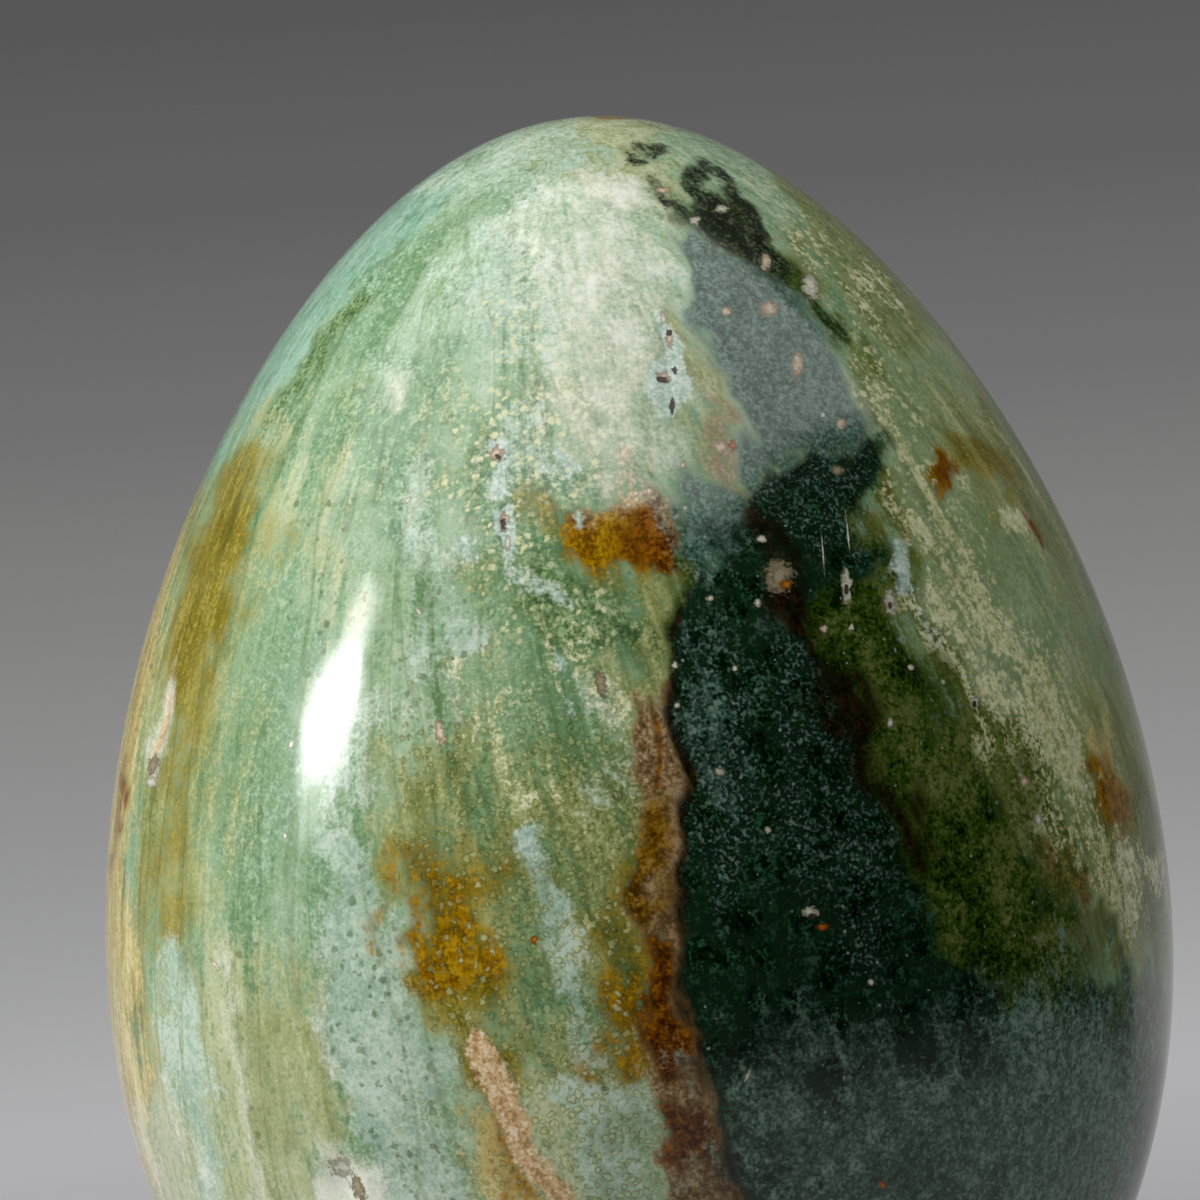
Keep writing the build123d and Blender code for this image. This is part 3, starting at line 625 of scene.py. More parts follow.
        "loopLeft": vein((706, 200), (695, 190), (697, 176), (708, 167), width=0.6, soft=0.3, fill=0.7),
        "loopRight": vein((714, 169), (727, 173), (733, 186), (724, 198), width=0.7, soft=0.3, fill=0.5),
        "band": patch((686, 203), (700, 200), (722, 190), (745, 200), (762, 222), (778, 248), (788, 270),
            (784, 284), (765, 272), (740, 255), (718, 238), (700, 226), soft=0.5, fill=0.8),
    },
}

# Where small round features show: pale dots, dark rings, dark spots and a haze of fine quartz
grainZones = {
    "dotted": {
        "middle": patch((450, 400), (560, 370), (640, 420), (655, 480), (590, 480), (540, 498), (540, 560),
            (525, 640), (480, 640), (445, 500), soft=1.0, fill=1.2),
        "cream": patch((500, 300), (560, 250), (640, 240), (650, 420), (600, 440), (500, 400), soft=1.6,
            fill=0.2),
        "chain": vein((770, 190), (850, 300), (890, 400), (925, 490), (985, 605), (1050, 720), (1075, 820),
            width=4.0, soft=1.4, fill=0.5),
        "low": patch((480, 860), (640, 860), (660, 1060), (640, 1180), (560, 1120), (500, 1040), soft=1.6,
            fill=-0.6),
        "back": farPatch((200, 80), (230, 70), (226, 40), (200, 36), soft=2.0),
        "under": patch((530, 590), (600, 580), (650, 610), (640, 690), (560, 690), soft=1.0, fill=-0.2),
    },
    "ringed": {
        "patch": patch((380, 700), (470, 690), (540, 670), (640, 690), (650, 900), (660, 1060), (690, 1200),
            (560, 1260), (430, 1050), (400, 880), soft=1.4, fill=2.4),
        "middle": patch((370, 500), (440, 480), (470, 600), (640, 690), (640, 720), (480, 730), (390, 690),
            soft=1.4, fill=-0.5),
        "low": patch((420, 1050), (560, 1090), (690, 1200), (720, 1330), (500, 1330), soft=1.6, fill=0.6),
        "back": farPatch((150, 80), (178, 76), (184, 40), (160, 30), (148, 52), soft=2.0),
    },
    "spotted": {
        "field": patch((330, 860), (400, 860), (440, 1040), (480, 1200), (360, 1240), (330, 1040),
            soft=1.4),
        "left": patch((280, 500), (360, 500), (370, 620), (310, 690), soft=1.0, fill=0.5),
        "lowLeft": patch((220, 900), (330, 920), (340, 1100), (240, 1160), soft=1.4, fill=0.2),
        "middle": patch((380, 560), (460, 560), (470, 720), (400, 760), soft=1.2, fill=0.7),
    },
    "hazy": {
        "right": patch((770, 670), (800, 660), (845, 740), (880, 830), (900, 930), (860, 950), (820, 880),
            (785, 800), soft=1.2, fill=0.5),
        "left": patch((684, 640), (730, 640), (746, 700), (752, 800), (756, 900), (720, 940), (690, 850),
            soft=1.2, fill=1.4),
        "low": patch((740, 1080), (1000, 1040), (1110, 1060), (1080, 1240), (800, 1280), soft=1.4,
            fill=-0.2),
        "upper": patch((700, 270), (780, 290), (850, 400), (870, 520), (800, 560), (750, 480), soft=1.0,
            fill=0.5),
        "all": patch((680, 560), (880, 480), (1060, 900), (1060, 1300), (760, 1300), (680, 900), soft=1.0,
            fill=-1.3),
    },
}

# Zone edges wander by these wavelengths and reaches, in millimetres, less where an edge is hard. A point
# that no zone comes near has the value nowhere.
zoneEdge = {
    "seed": 7,
    "steps": ((4.2, 0.4), (1.6, 0.2)),
    "waves": 24,
    "plainSoft": 0.6,
    "loose": (0.3, 1.6),
    "nowhere": -20.0,
}
tiny = 1e-9  # stands in for a length of nothing in a division


# How far inside an outline each point lies, in millimetres: the distance to the nearest edge, negative
# outside
def outlineDepth(across, up, corners):
    inside = np.zeros(across.shape, bool)
    for (ax, ay), (bx, by) in zip(corners, np.roll(corners, -1, axis=0)):
        crossing = (ay > up) != (by > up)
        inside ^= crossing & (across < ax + (up - ay) / (by - ay if by != ay else tiny) * (bx - ax))
    nearest = -strokeDepth(across, up, np.concatenate([corners, corners[:1]]), 0)
    return np.where(inside, nearest, -nearest)


def strokeDepth(across, up, corners, width):  # half the width minus the distance to the stroke
    nearest = np.full(across.shape, np.inf)
    for (ax, ay), (bx, by) in zip(corners[:-1], corners[1:]):
        lengthSquared = max(tiny, (bx - ax) ** 2 + (by - ay) ** 2)
        along = np.clip(((across - ax) * (bx - ax) + (up - ay) * (by - ay)) / lengthSquared, 0, 1)
        nearest = np.minimum(nearest, np.hypot(across - ax - along * (bx - ax), up - ay - along * (by - ay)))
    return width / 2 - nearest


# A smooth random field over the stone: plane waves of one wavelength in seeded directions, added and
# levelled
def wander(wavelength, draws):
    waves = zoneEdge["waves"]
    along = draws.normal(size=(waves, 3))
    along *= 2 * pi / wavelength / np.linalg.norm(along, axis=1, keepdims=True)
    return np.cos(pointsAt @ along.T + draws.uniform(0, 2 * pi, waves)).sum(1) * (2 / waves) ** 0.5


draws = np.random.default_rng(zoneEdge["seed"])
wanderAcross = sum(reach * wander(wavelength, draws) for wavelength, reach in zoneEdge["steps"])
wanderUp = sum(reach * wander(wavelength, draws) for wavelength, reach in zoneEdge["steps"])


# One value a point for each tint: depth over softness, the largest of its zones. The chart of a zone is the
# azimuth from its middle times its mean radius across, and arc height up.
def tintField(zones):
    field = np.full(len(azimuthAt), zoneEdge["nowhere"])
    for zone in zones.values():
        middle = zone["corners"].mean(0)
        scale = np.interp(middle[1], curveArc, curveRadius)
        across = (azimuthAt - middle[0] + pi) % (2 * pi) - pi
        loose = np.clip(zone["soft"] / zoneEdge["plainSoft"], *zoneEdge["loose"])
        corners = (zone["corners"] - (middle[0], 0)) * (scale, 1)
        chart = across * scale + loose * wanderAcross, arcAt + loose * wanderUp, corners
        depth = outlineDepth(*chart) if zone["width"] is None else strokeDepth(*chart, zone["width"])
        field = np.maximum(field, np.minimum(depth / zone["soft"], zone["fill"]))
    return field


def stoneLayer(name, values):  # one number or three numbers for each point of the egg
    layer = eggMesh.attributes.new(name, "FLOAT" if values.ndim == 1 else "FLOAT_VECTOR", "POINT")
    layer.data.foreach_set("value" if values.ndim == 1 else "vector", values.astype(np.float32).ravel())


for tint, zones in {**stoneZones, **grainZones}.items():
    stoneLayer(tint, tintField(zones))
print("stone zones:", sum(len(zones) for zones in stoneZones.values()), "in", len(stoneZones), "tints")

# Flecks in the stone, by kind: middle, half width and half height in photo pixels, and turn in degrees
flecks = {
    "putty": [(779, 576, 14, 17, 0), (601, 684, 6, 12, -10), (838, 470, 7, 5, 20), (153, 766, 5, 10, 10),
              (356, 1188, 7, 14, -35)],
    "peach": [(769, 308, 9, 8, 20), (797, 364, 6, 14, 5), (726, 311, 5, 4, 0), (766, 262, 5, 9, 0),
              (663, 190, 8, 3, 10), (841, 424, 5, 5, 0), (440, 732, 5, 14, -15), (824, 629, 4, 4, 0),
              (1025, 782, 5, 5, 0), (682, 465, 3, 3, 0), (497, 454, 7, 8, 0), (504, 521, 5, 9, 0),
              (669, 339, 4, 9, 0), (664, 377, 8, 5, 0), (720, 447, 7, 6, 0)],
    "bone": [(695, 220, 5, 4, 0), (722, 209, 6, 4, 0), (811, 286, 8, 14, -20), (847, 588, 6, 20, -4),
             (891, 602, 7, 14, -8), (758, 603, 4, 4, 0), (761, 539, 5, 4, 0), (974, 702, 4, 6, 0),
             (1038, 820, 4, 7, -10), (848, 535, 0.9, 24, -5), (823, 553, 0.8, 20, -4), (685, 508, 3, 3, 0),
             (710, 598, 4, 3, 0), (735, 668, 3, 3, 0), (720, 772, 5, 4, 0), (768, 830, 3, 3, 0),
             (675, 665, 3, 3, 0), (677, 705, 3, 3, 0), (823, 415, 3, 3, 0), (851, 628, 4, 4, 0),
             (943, 682, 3, 3, 0), (890, 723, 3, 5, 0), (871, 982, 3, 3, 0), (748, 1075, 2, 7, 25),
             (911, 667, 3, 3, 0), (418, 611, 2, 5, -30), (408, 500, 2, 4, 30), (291, 744, 2, 4, 20),
             (285, 836, 2, 4, -20), (215, 965, 2, 7, -40), (663, 318, 3, 6, 0), (508, 543, 3, 8, 0),
             (810, 912, 8, 6, 0), (151, 782, 6, 5, 0), (340, 1168, 12, 10, 20)],
    "spice": [(733, 445, 4, 6, 0), (823, 927, 6, 4, 0), (882, 1185, 4, 4, 0), (786, 584, 6, 5, 0),
              (534, 940, 4, 4, 0)],
    "pit": [(669, 333, 3, 3, 0), (662, 379, 6, 4, 10), (847, 590, 2.5, 5, 0), (891, 605, 2.5, 4, 0),
            (672, 406, 2.5, 8, 0), (498, 457, 3, 3, 0), (503, 524, 3, 6, 0), (812, 916, 4, 3, 0),
            (974, 704, 2, 3, 0), (675, 370, 3, 4, 0)],
}
# How far a fleck's frame reaches past its rim and to the next fleck's, in millimetres, and how steeply the
# third part of its frame rises beyond that
fleckReach = {"rim": 0.6, "rimRise": 8, "next": 0.6, "nextRise": 20, "core": 0.12, "far": 40.0}


# The nearest fleck's own frame at each point. A third part rises away from the fleck and half way between
# two of them, so that nothing shows there.
def fleckField(marks):
    field = np.full((len(azimuthAt), 3), fleckReach["far"])
    nearest = np.full(len(azimuthAt), np.inf)
    second = nearest.copy()
    for mark in marks:
        local, size = markPlace(*mark)
        gap = (np.linalg.norm(local, axis=1) - 1) * size
        closer = gap < nearest
        second = np.where(closer, nearest, np.minimum(second, gap))
        nearest = np.where(closer, gap, nearest)
        field[closer, :2] = local[closer]
    betweenTwo = np.maximum(0, fleckReach["next"] - (second - nearest)) * (nearest > fleckReach["core"])
    pastRim = np.maximum(0, nearest - fleckReach["rim"])
    field[:, 2] = pastRim * fleckReach["rimRise"] + betweenTwo * fleckReach["nextRise"]
    return np.clip(field, -fleckReach["far"], fleckReach["far"])


for kind, marks in flecks.items():
    stoneLayer(kind, fleckField(marks))
print("flecks:", sum(len(marks) for marks in flecks.values()))

# The bedding of the stone: streaks follow the meridians at the left and lean to the right going down
# elsewhere
bedding = {
    "lean": 0.3,
    "leanFrom": -40.0,  # degrees of azimuth, like the next three
    "leanFull": -5.0,
    "fadeFrom": 120.0,
    "fadeTo": 175.0,
    "squeeze": 0.17,
    "level": 60.0,
    "tipRadius": 12.0,
}
degreesAt = np.degrees(azimuthAt)
rise = np.clip((degreesAt - bedding["leanFrom"]) / (bedding["leanFull"] - bedding["leanFrom"]), 0, 1)
fall = np.clip((bedding["fadeTo"] - degreesAt) / (bedding["fadeTo"] - bedding["fadeFrom"]), 0, 1)
girth = curveRadius.max() * np.tanh(radiusAt / bedding["tipRadius"])
leaning = azimuthAt + bedding["lean"] * rise * fall * (arcAt - bedding["level"]) / curveRadius.max()
alongBed = arcAt * bedding["squeeze"]
stoneLayer("bedding", np.column_stack([girth * np.sin(leaning), -girth * np.cos(leaning), alongBed]))

# Polished jasper: fine quartz that takes a mirror polish, so the colours are cloudy, granular and streaked
# along the bedding, and the gloss over them is even except on the open flecks. Lengths are in millimetres.
jasper = {
    "textures": {  # what it follows, size, detail and roughness
        "broad": ("bedding", 5.0, 3.0, 0.5),
        "streak": ("bedding", 1.6, 4.0, 0.58),
        "fine": ("bedding", 0.55, 3.0, 0.6),
        "cloud": ("stone", 3.4, 5.0, 0.6),
        "sand": ("stone", 0.19, 1.0, 0.5),
        "grit": ("stone", 0.46, 3.0, 0.6),
    },
    "distortion": 0.3,
    "cells": {"spacing": 0.62, "shake": 0.7, "dark": 0.75, "light": 0.1},
    "grains": {  # shares of the textures
        "ground": {"broad": 0.24, "streak": 0.22, "fine": 0.16, "cloud": 0.1, "grit": 0.14, "sand": 0.14},
        "streaky": {"broad": 0.08, "streak": 0.32, "fine": 0.22, "grit": 0.18, "sand": 0.2},
        "granular": {"cloud": 0.16, "fine": 0.14, "grit": 0.34, "sand": 0.3, "cells": 0.06},
        "cloudy": {"cloud": 0.46, "grit": 0.3, "sand": 0.24},
        "edge": {"cloud": 0.26, "streak": 0.26, "fine": 0.16, "grit": 0.2, "sand": 0.12},
    },
    "gain": 5.2,  # contrast of the grain
    "tear": (0.36, 0.64),  # values of the edge grain that move a zone's edge in and out
    "ramp": (0.06, 0.94),  # where the darkest and the lightest tone lie
    "ground": ("#6C9064", "#90AF86", "#ACC5A4", "#CAD9C4"),
    "tints": {  # in order of painting: grain, raggedness and sharpness of the edge, tones from dark to light
        "jade": ("streaky", 3.0, 1.0, "#78A68A", "#92B99F", "#ACCBB6"),
        "meadow": ("granular", 3.6, 1.1, "#557C58", "#84A880", "#AECBAC"),
        "fern": ("granular", 3.6, 1.2, "#42603A", "#6E8C58", "#9CB488"),
        "sage": ("cloudy", 3.2, 1.2, "#859A6A", "#95A97A", "#AABA90"),
        "grass": ("granular", 3.8, 1.2, "#66783C", "#86965A", "#A6B07A"),
        "straw": ("streaky", 3.6, 1.1, "#9CA674", "#B8C193", "#D0D6B4"),
        "olive": ("streaky", 4.0, 0.8, "#656C2E", "#98A062", "#C2C898"),
        "khaki": ("streaky", 4.0, 0.9, "#6C6220", "#8A8030", "#AAA45A"),
        "ochre": ("streaky", 4.0, 0.8, "#5C5404", "#82761A", "#AA9E4C"),
        "aqua": ("cloudy", 3.0, 1.4, "#96B09A", "#B0C7AE", "#C8DAC6"),
        "honey": ("streaky", 3.2, 1.1, "#A6924C", "#C9BA78", "#E2D8A2"),
        "amber": ("granular", 3.6, 1.1, "#664200", "#946A00", "#B48E14"),
        "thicket": ("granular", 4.0, 1.2, "#3E5016", "#65742E", "#8C9A5C"),
        "primrose": ("granular", 3.4, 2.2, "#A8AC72", "#CED19C", "#E8E8C4"),
        "mauve": ("granular", 3.4, 1.4, "#5A4424", "#8A7048", "#BCA684"),
        "tawny": ("granular", 3.4, 1.0, "#402800", "#6C4C04", "#967426"),
        "rust": ("granular", 3.2, 1.3, "#3C1600", "#663A00", "#985E06"),
        "moss": ("cloudy", 3.2, 1.2, "#0C1A02", "#2E480C", "#667034"),
        "bottle": ("granular", 2.4, 1.4, "#000800", "#0A260E", "#305840"),
        # grey-green stone, with painted reflections of the overhead panel and of the floor
        "smoke": ("granular", 2.8, 1.3, "#284432", "#507060", "#7E9686"),
        "umber": ("granular", 3.0, 1.0, "#050200", "#140A02", "#2E200C"),
        "cream": ("cloudy", 1.6, 0.6, "#DADFC6", "#E6E9D6", "#F0F2E6"),
        "blush": ("granular", 2.8, 1.4, "#A88454", "#D6B482", "#EADABC"),
        "frost": ("granular", 2.4, 1.4, "#9CB6A4", "#BCD0C0", "#DAE6DA"),
        "ink": ("granular", 3.8, 1.3, "#090E06", "#1E2A16", "#566446"),
    },
    "flow": {"often": 7.0, "width": 0.13, "share": 0.4, "tone": "#A8AC80"},
    "orbs": {
        "spacing": 0.42,
        "shake": 0.6,
        "radius": (0.1, 0.22),
        "edge": 0.05,
        "line": (0.07, 0.015),
        "spread": 0.15,
        "ragged": 3.0,
        "sharp": 0.9,
    },
    "dots": {"zone": "dotted", "rare": 0.35, "share": 1.0, "tone": "#DADCAC", "blend": "MIX"},
    "cores": {"zone": "ringed", "rare": 0.5, "share": 0.4, "tone": "#BCC48C", "blend": "MIX"},
    "rings": {"zone": "ringed", "rare": 0.2, "share": 0.8, "tone": "#B8B88E", "blend": "MULTIPLY"},
    "spots": {"zone": "spotted", "rare": 0.75, "share": 0.8, "tone": "#94A084", "blend": "MULTIPLY"},
    "haze": {"spacing": 1.6, "shake": 0.9, "net": (0.5, 0.85), "share": 0.5, "tone": "#1A3420"},
    "dust": {
        "gather": (0.4, 0.9),
        "least": 0.12,
        "ragged": 3.4,
        "sharp": 0.8,
        "sand": (0.54, 0.78),
        "tone": "#7C8E88",
    },
    "sparks": {"spacing": 0.5, "shake": 0.3, "rare": 0.5, "radius": 0.08, "edge": 0.03, "tone": "#8E9C8C"},
    "fleckEdge": {"tear": 1.3, "rim": 2.5, "inside": 2.1, "pale": 1.4},
    "flecks": {  # roughness, and tones from the edge inwards
        "putty": (0.1, "#4E4634", "#82785E", "#A09678"),
        "peach": (0.3, "#66503A", "#AC9678", "#D8C8B0"),
        "bone": (0.3, "#6A6448", "#A9A890", "#DCDACA"),
        "spice": (0.1, "#5E2E02", "#8E5008", "#B87420"),
        "pit": (0.5, "#120A04", "#2A1A0C", "#4E361C"),
    },
    "gloss": {"cloud": (0.3, 0.7), "rough": (0.09, 0.14)},
    "ior": 1.54,
}
polishedJasper, tree, shader = newMaterial("polished_jasper")
stoneMetres = addNode(tree, "TexCoord", out="Object")
stoneMm = addNode(tree, "VectorMath", {0: stoneMetres, "Scale": 1 / mm}, operation="SCALE")
bed = addNode(tree, "Attribute", out="Vector", attribute_name="bedding")
noises = {}
for name, (follows, size, detail, roughness) in jasper["textures"].items():
    noises[name] = addNode(tree, "TexNoise", {
        "Vector": bed if follows == "bedding" else stoneMm, "Scale": 1 / size, "Detail": detail,
        "Roughness": roughness, "Distortion": jasper["distortion"]}, out=None)
textures = {name: outputs["Fac"] for name, outputs in noises.items()}
shake = addNode(tree, "VectorMath", {0: noises["grit"]["Color"], 1: (0.5, 0.5, 0.5)}, operation="SUBTRACT")


# Scattered round cells: the distance to the nearest middle in millimetres, and three chances for each
# cell. The places are moved about by the grit, so that round features aren't perfect.
def roundCells(settings):
    spacing, reach = settings["spacing"], [settings["shake"]] * 3
    moved = addNode(tree, "VectorMath", {0: shake, 1: reach, 2: stoneMm}, operation="MULTIPLY_ADD")
    found = addNode(tree, "TexVoronoi", {"Vector": moved, "Scale": 1 / spacing}, out=None)
    away = addNode(tree, "Math", {0: found["Distance"], 1: spacing}, operation="MULTIPLY")
    return away, addNode(tree, "SeparateColor", {0: found["Color"]}, out=None)


cells = jasper["cells"]
textures["cells"] = addNode(tree, "MapRange", {
    "Value": roundCells(cells)[0], "From Min": cells["dark"] * cells["spacing"],
    "From Max": cells["light"] * cells["spacing"]})
grains, spread = {}, {}
for name, shares in jasper["grains"].items():
    total = 0.0
    for texture, share in shares.items():
        total = addNode(tree, "Math", {0: textures[texture], 1: share, 2: total}, operation="MULTIPLY_ADD")
    grains[name] = total
    spread[name] = addNode(tree, "MapRange", {
        "Value": total, "From Min": 0.5 - 0.5 / jasper["gain"], "From Max": 0.5 + 0.5 / jasper["gain"]})
edge = addNode(tree, "MapRange", {
    "Value": grains["edge"], "From Min": jasper["tear"][0], "From Max": jasper["tear"][1],
    "To Min": -1.0, "To Max": 1.0}, clamp=False)


def evenStops(tones):  # colours from dark to light, evenly along a ramp
    return list(zip(np.linspace(*jasper["ramp"], len(tones)), tones))


def zoneMask(name, ragged, sharp):  # 1 inside a zone, with an edge that the textures tear
    field = addNode(tree, "Attribute", out="Fac", attribute_name=name)
    torn = addNode(tree, "Math", {0: edge, 1: ragged / 2, 2: field}, operation="MULTIPLY_ADD")
    return addNode(tree, "MapRange", {"Value": torn, "From Min": -1 / sharp, "From Max": 1 / sharp},
                   interpolation_type="SMOOTHSTEP")


masks = {}


def paintTints(colour, names):  # each tint over the ones before it
    for name in names.split():
        grain, ragged, sharp, *tones = jasper["tints"][name]
        masks[name] = zoneMask(name, ragged, sharp)
        hue = addNode(tree, "ValToRGB", {"Fac": spread[grain]}, stops=evenStops(tones))
        colour = addNode(tree, "Mix", {0: masks[name], 6: colour, 7: hue}, out=2, data_type="RGBA")
    return colour


colour = addNode(tree, "ValToRGB", {"Fac": spread["ground"]}, stops=evenStops(jasper["ground"]))
colour = paintTints(colour, "jade meadow fern sage grass straw olive khaki ochre aqua honey amber")
colour = paintTints(colour, "thicket primrose")

# Flow lines: thin darker lines along the bedding, each where the broad bands pass one of a row of even
# levels
flow = jasper["flow"]
flowLevel = addNode(tree, "Math", {0: textures["broad"], 1: flow["often"]}, operation="MULTIPLY")
flowGap = addNode(tree, "Math", {0: flowLevel, 1: 0.5}, operation="PINGPONG")  # to the nearest level
flowLine = addNode(tree, "MapRange", {
    "Value": flowGap, "From Min": flow["width"], "From Max": 0.0, "To Max": flow["share"]})
colour = addNode(tree, "Mix", {0: flowLine, 6: colour, 7: linearColour(flow["tone"])}, out=2,
                 data_type="RGBA", blend_type="MULTIPLY")

# Round features of many sizes: pale dots, ringed orbs with pale cores, and dark spots
orbs = jasper["orbs"]
leastRadius, mostRadius = orbs["radius"]
orbAway, orbChance = roundCells(orbs)
orbSize = addNode(tree, "Math", {0: orbChance[0], 1: mostRadius - leastRadius, 2: leastRadius},
                  operation="MULTIPLY_ADD")
orbGap = addNode(tree, "Math", {0: orbAway, 1: orbSize}, operation="SUBTRACT")
orbInside = addNode(tree, "MapRange", {"Value": orbGap, "From Min": orbs["edge"], "From Max": -orbs["edge"]})
orbRim = addNode(tree, "Math", {0: orbGap}, operation="ABSOLUTE")
orbLine = addNode(tree, "MapRange", {
    "Value": orbRim, "From Min": orbs["line"][0], "From Max": orbs["line"][1]})
for kind, shape in {"dots": orbInside, "cores": orbInside, "rings": orbLine, "spots": orbInside}.items():
    paint = jasper[kind]
    often = addNode(tree, "MapRange", {
        "Value": orbChance[1], "From Min": paint["rare"] - orbs["spread"],
        "From Max": paint["rare"] + orbs["spread"], "To Max": paint["share"]})
    zone = zoneMask(paint["zone"], orbs["ragged"], orbs["sharp"])
    there = addNode(tree, "Math", {0: zone, 1: often}, operation="MULTIPLY")
    shown = addNode(tree, "Math", {0: there, 1: shape}, operation="MULTIPLY")
    colour = addNode(tree, "Mix", {0: shown, 6: colour, 7: linearColour(paint["tone"])}, out=2,
                     data_type="RGBA", blend_type=paint["blend"])
# the last tint here is grey-green stone with painted reflections of the overhead panel and of the floor
colour = paintTints(colour, "mauve tawny rust moss bottle smoke")

# Quartz in the dark stone: a faint net round darker globes, a dust of fine grains, and sparks
haze = jasper["haze"]
hazeAway = roundCells(haze)[0]
hazeNet = addNode(tree, "MapRange", {
    "Value": hazeAway, "From Min": haze["net"][0], "From Max": haze["net"][1], "To Max": haze["share"]})
inDark = addNode(tree, "Math", {0: hazeNet, 1: masks["bottle"]}, operation="MULTIPLY")
colour = addNode(tree, "Mix", {0: inDark, 6: colour, 7: linearColour(haze["tone"])}, out=2, data_type="RGBA")
dust = jasper["dust"]
gathered = addNode(tree, "MapRange", {
    "Value": hazeAway, "From Min": dust["gather"][0], "From Max": dust["gather"][1],
    "To Min": dust["least"]})
hazy = zoneMask("hazy", dust["ragged"], dust["sharp"])
dusty = addNode(tree, "Math", {0: gathered, 1: hazy}, operation="MULTIPLY")
dustMask = addNode(tree, "MapRange", {
    "Value": textures["sand"], "From Min": dust["sand"][0], "From Max": dust["sand"][1], "To Max": dusty})
colour = addNode(tree, "Mix", {0: dustMask, 6: colour, 7: linearColour(dust["tone"])}, out=2,
                 data_type="RGBA")
sparks = jasper["sparks"]
dark = addNode(tree, "Math", {0: masks["bottle"], 1: masks["moss"]}, operation="MAXIMUM")
sparkAway, sparkChance = roundCells(sparks)
sparkSize = addNode(tree, "MapRange", {
    "Value": sparkChance[0], "From Min": sparks["rare"], "From Max": 1.0, "To Min": -sparks["edge"],
    "To Max": sparks["radius"]})
sparkGap = addNode(tree, "Math", {0: sparkAway, 1: sparkSize}, operation="SUBTRACT")
sparkMask = addNode(tree, "MapRange", {
    "Value": sparkGap, "From Min": sparks["edge"], "From Max": -sparks["edge"], "To Max": dark})
colour = addNode(tree, "Mix", {0: sparkMask, 6: colour, 7: linearColour(sparks["tone"])}, out=2,
                 data_type="RGBA")
colour = paintTints(colour, "umber cream blush frost ink")

# Flecks lie over everything, darker at their ragged edges, and the open ones are rougher than the polish
polish = jasper["gloss"]
gloss = addNode(tree, "MapRange", {
    "Value": textures["cloud"], "From Min": polish["cloud"][0], "From Max": polish["cloud"][1],
    "To Min": polish["rough"][0], "To Max": polish["rough"][1]})
fleckEdge = jasper["fleckEdge"]
tear = addNode(tree, "Math", {0: textures["grit"], 1: textures["sand"]}, operation="ADD")
for kind, (rough, *tones) in jasper["flecks"].items():
    local = addNode(tree, "Attribute", out="Vector", attribute_name=kind)
    fleckAway = addNode(tree, "VectorMath", {0: local}, out="Value", operation="LENGTH")
    torn = addNode(tree, "Math", {0: tear, 1: fleckEdge["tear"], 2: fleckAway}, operation="MULTIPLY_ADD")
    fleckMask = addNode(tree, "MapRange", {
        "Value": torn, "From Min": fleckEdge["rim"], "From Max": fleckEdge["inside"]})
    pale = addNode(tree, "MapRange", {
        "Value": torn, "From Min": fleckEdge["rim"], "From Max": fleckEdge["pale"]})
    hue = addNode(tree, "ValToRGB", {"Fac": pale}, stops=evenStops(tones))
    colour = addNode(tree, "Mix", {0: fleckMask, 6: colour, 7: hue}, out=2, data_type="RGBA")
    gloss = addNode(tree, "Mix", {0: fleckMask, 2: gloss, 3: rough})
tree.links.new(colour, shader.inputs["Base Color"])
tree.links.new(gloss, shader.inputs["Roughness"])
shader.inputs["IOR"].default_value = jasper["ior"]

# Polishing marks: level hairlines, drawn coarser than they are, that fray the edge of a highlight
hairlines = {"spacing": 0.28, "length": 3.0, "detail": 2.0, "depth": 2.6e-6}
stretch = (1 / hairlines["length"], 1 / hairlines["length"], 1 / hairlines["spacing"])
levelLines = addNode(tree, "Mapping", {"Vector": stoneMm, "Scale": stretch})
lines = addNode(tree, "TexNoise", {
    "Vector": levelLines, "Scale": 1.0, "Detail": hairlines["detail"]}, out="Fac")
scratched = addNode(tree, "Bump", {"Height": lines, "Distance": hairlines["depth"], "Strength": 1.0})
tree.links.new(scratched, shader.inputs["Normal"])
eggMesh.materials.append(polishedJasper)
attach(eggPiece, "egg")
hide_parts("egg")
print("polished jasper:", len(tree.nodes), "nodes")

# Walnut, turned and oiled: growth rings cross the grain, open pores lie along it as short dark dashes, and
# the oil and wax leave a satin sheen that the pores break. Lengths are in millimetres, depths in metres.
walnut = {
    "rings": {
        "spacing": 2.6,
        "waver": 1.1,
        "stops": [(0.1, "#6E482B"), (0.4, "#5F3C23"), (0.62, "#4C2E19"), (0.8, "#35200F")],
    },
    "figure": {"across": 7.0, "along": 40.0, "detail": 4.0, "share": 0.5},
    "pores": {
        "across": 0.22,
        "along": 4.5,
        "detail": 1.0,
        "limits": (0.6, 0.68),
        "tone": "#22130A",
        "depth": 0.000008,
    },
    "satin": {"dash": (0.4, 0.7), "rough": (0.4, 0.52)},
    "ior": 1.5,
    # pith is a point on the middle of the tree, and grain is 0, 1 or 2 for grain along X, Y or Z
    "board": {"pith": (0.0, 9.0, -34.0), "grain": 0},
    "dowel": {"pith": (31.0, -22.0, 0.0), "grain": 2},
}


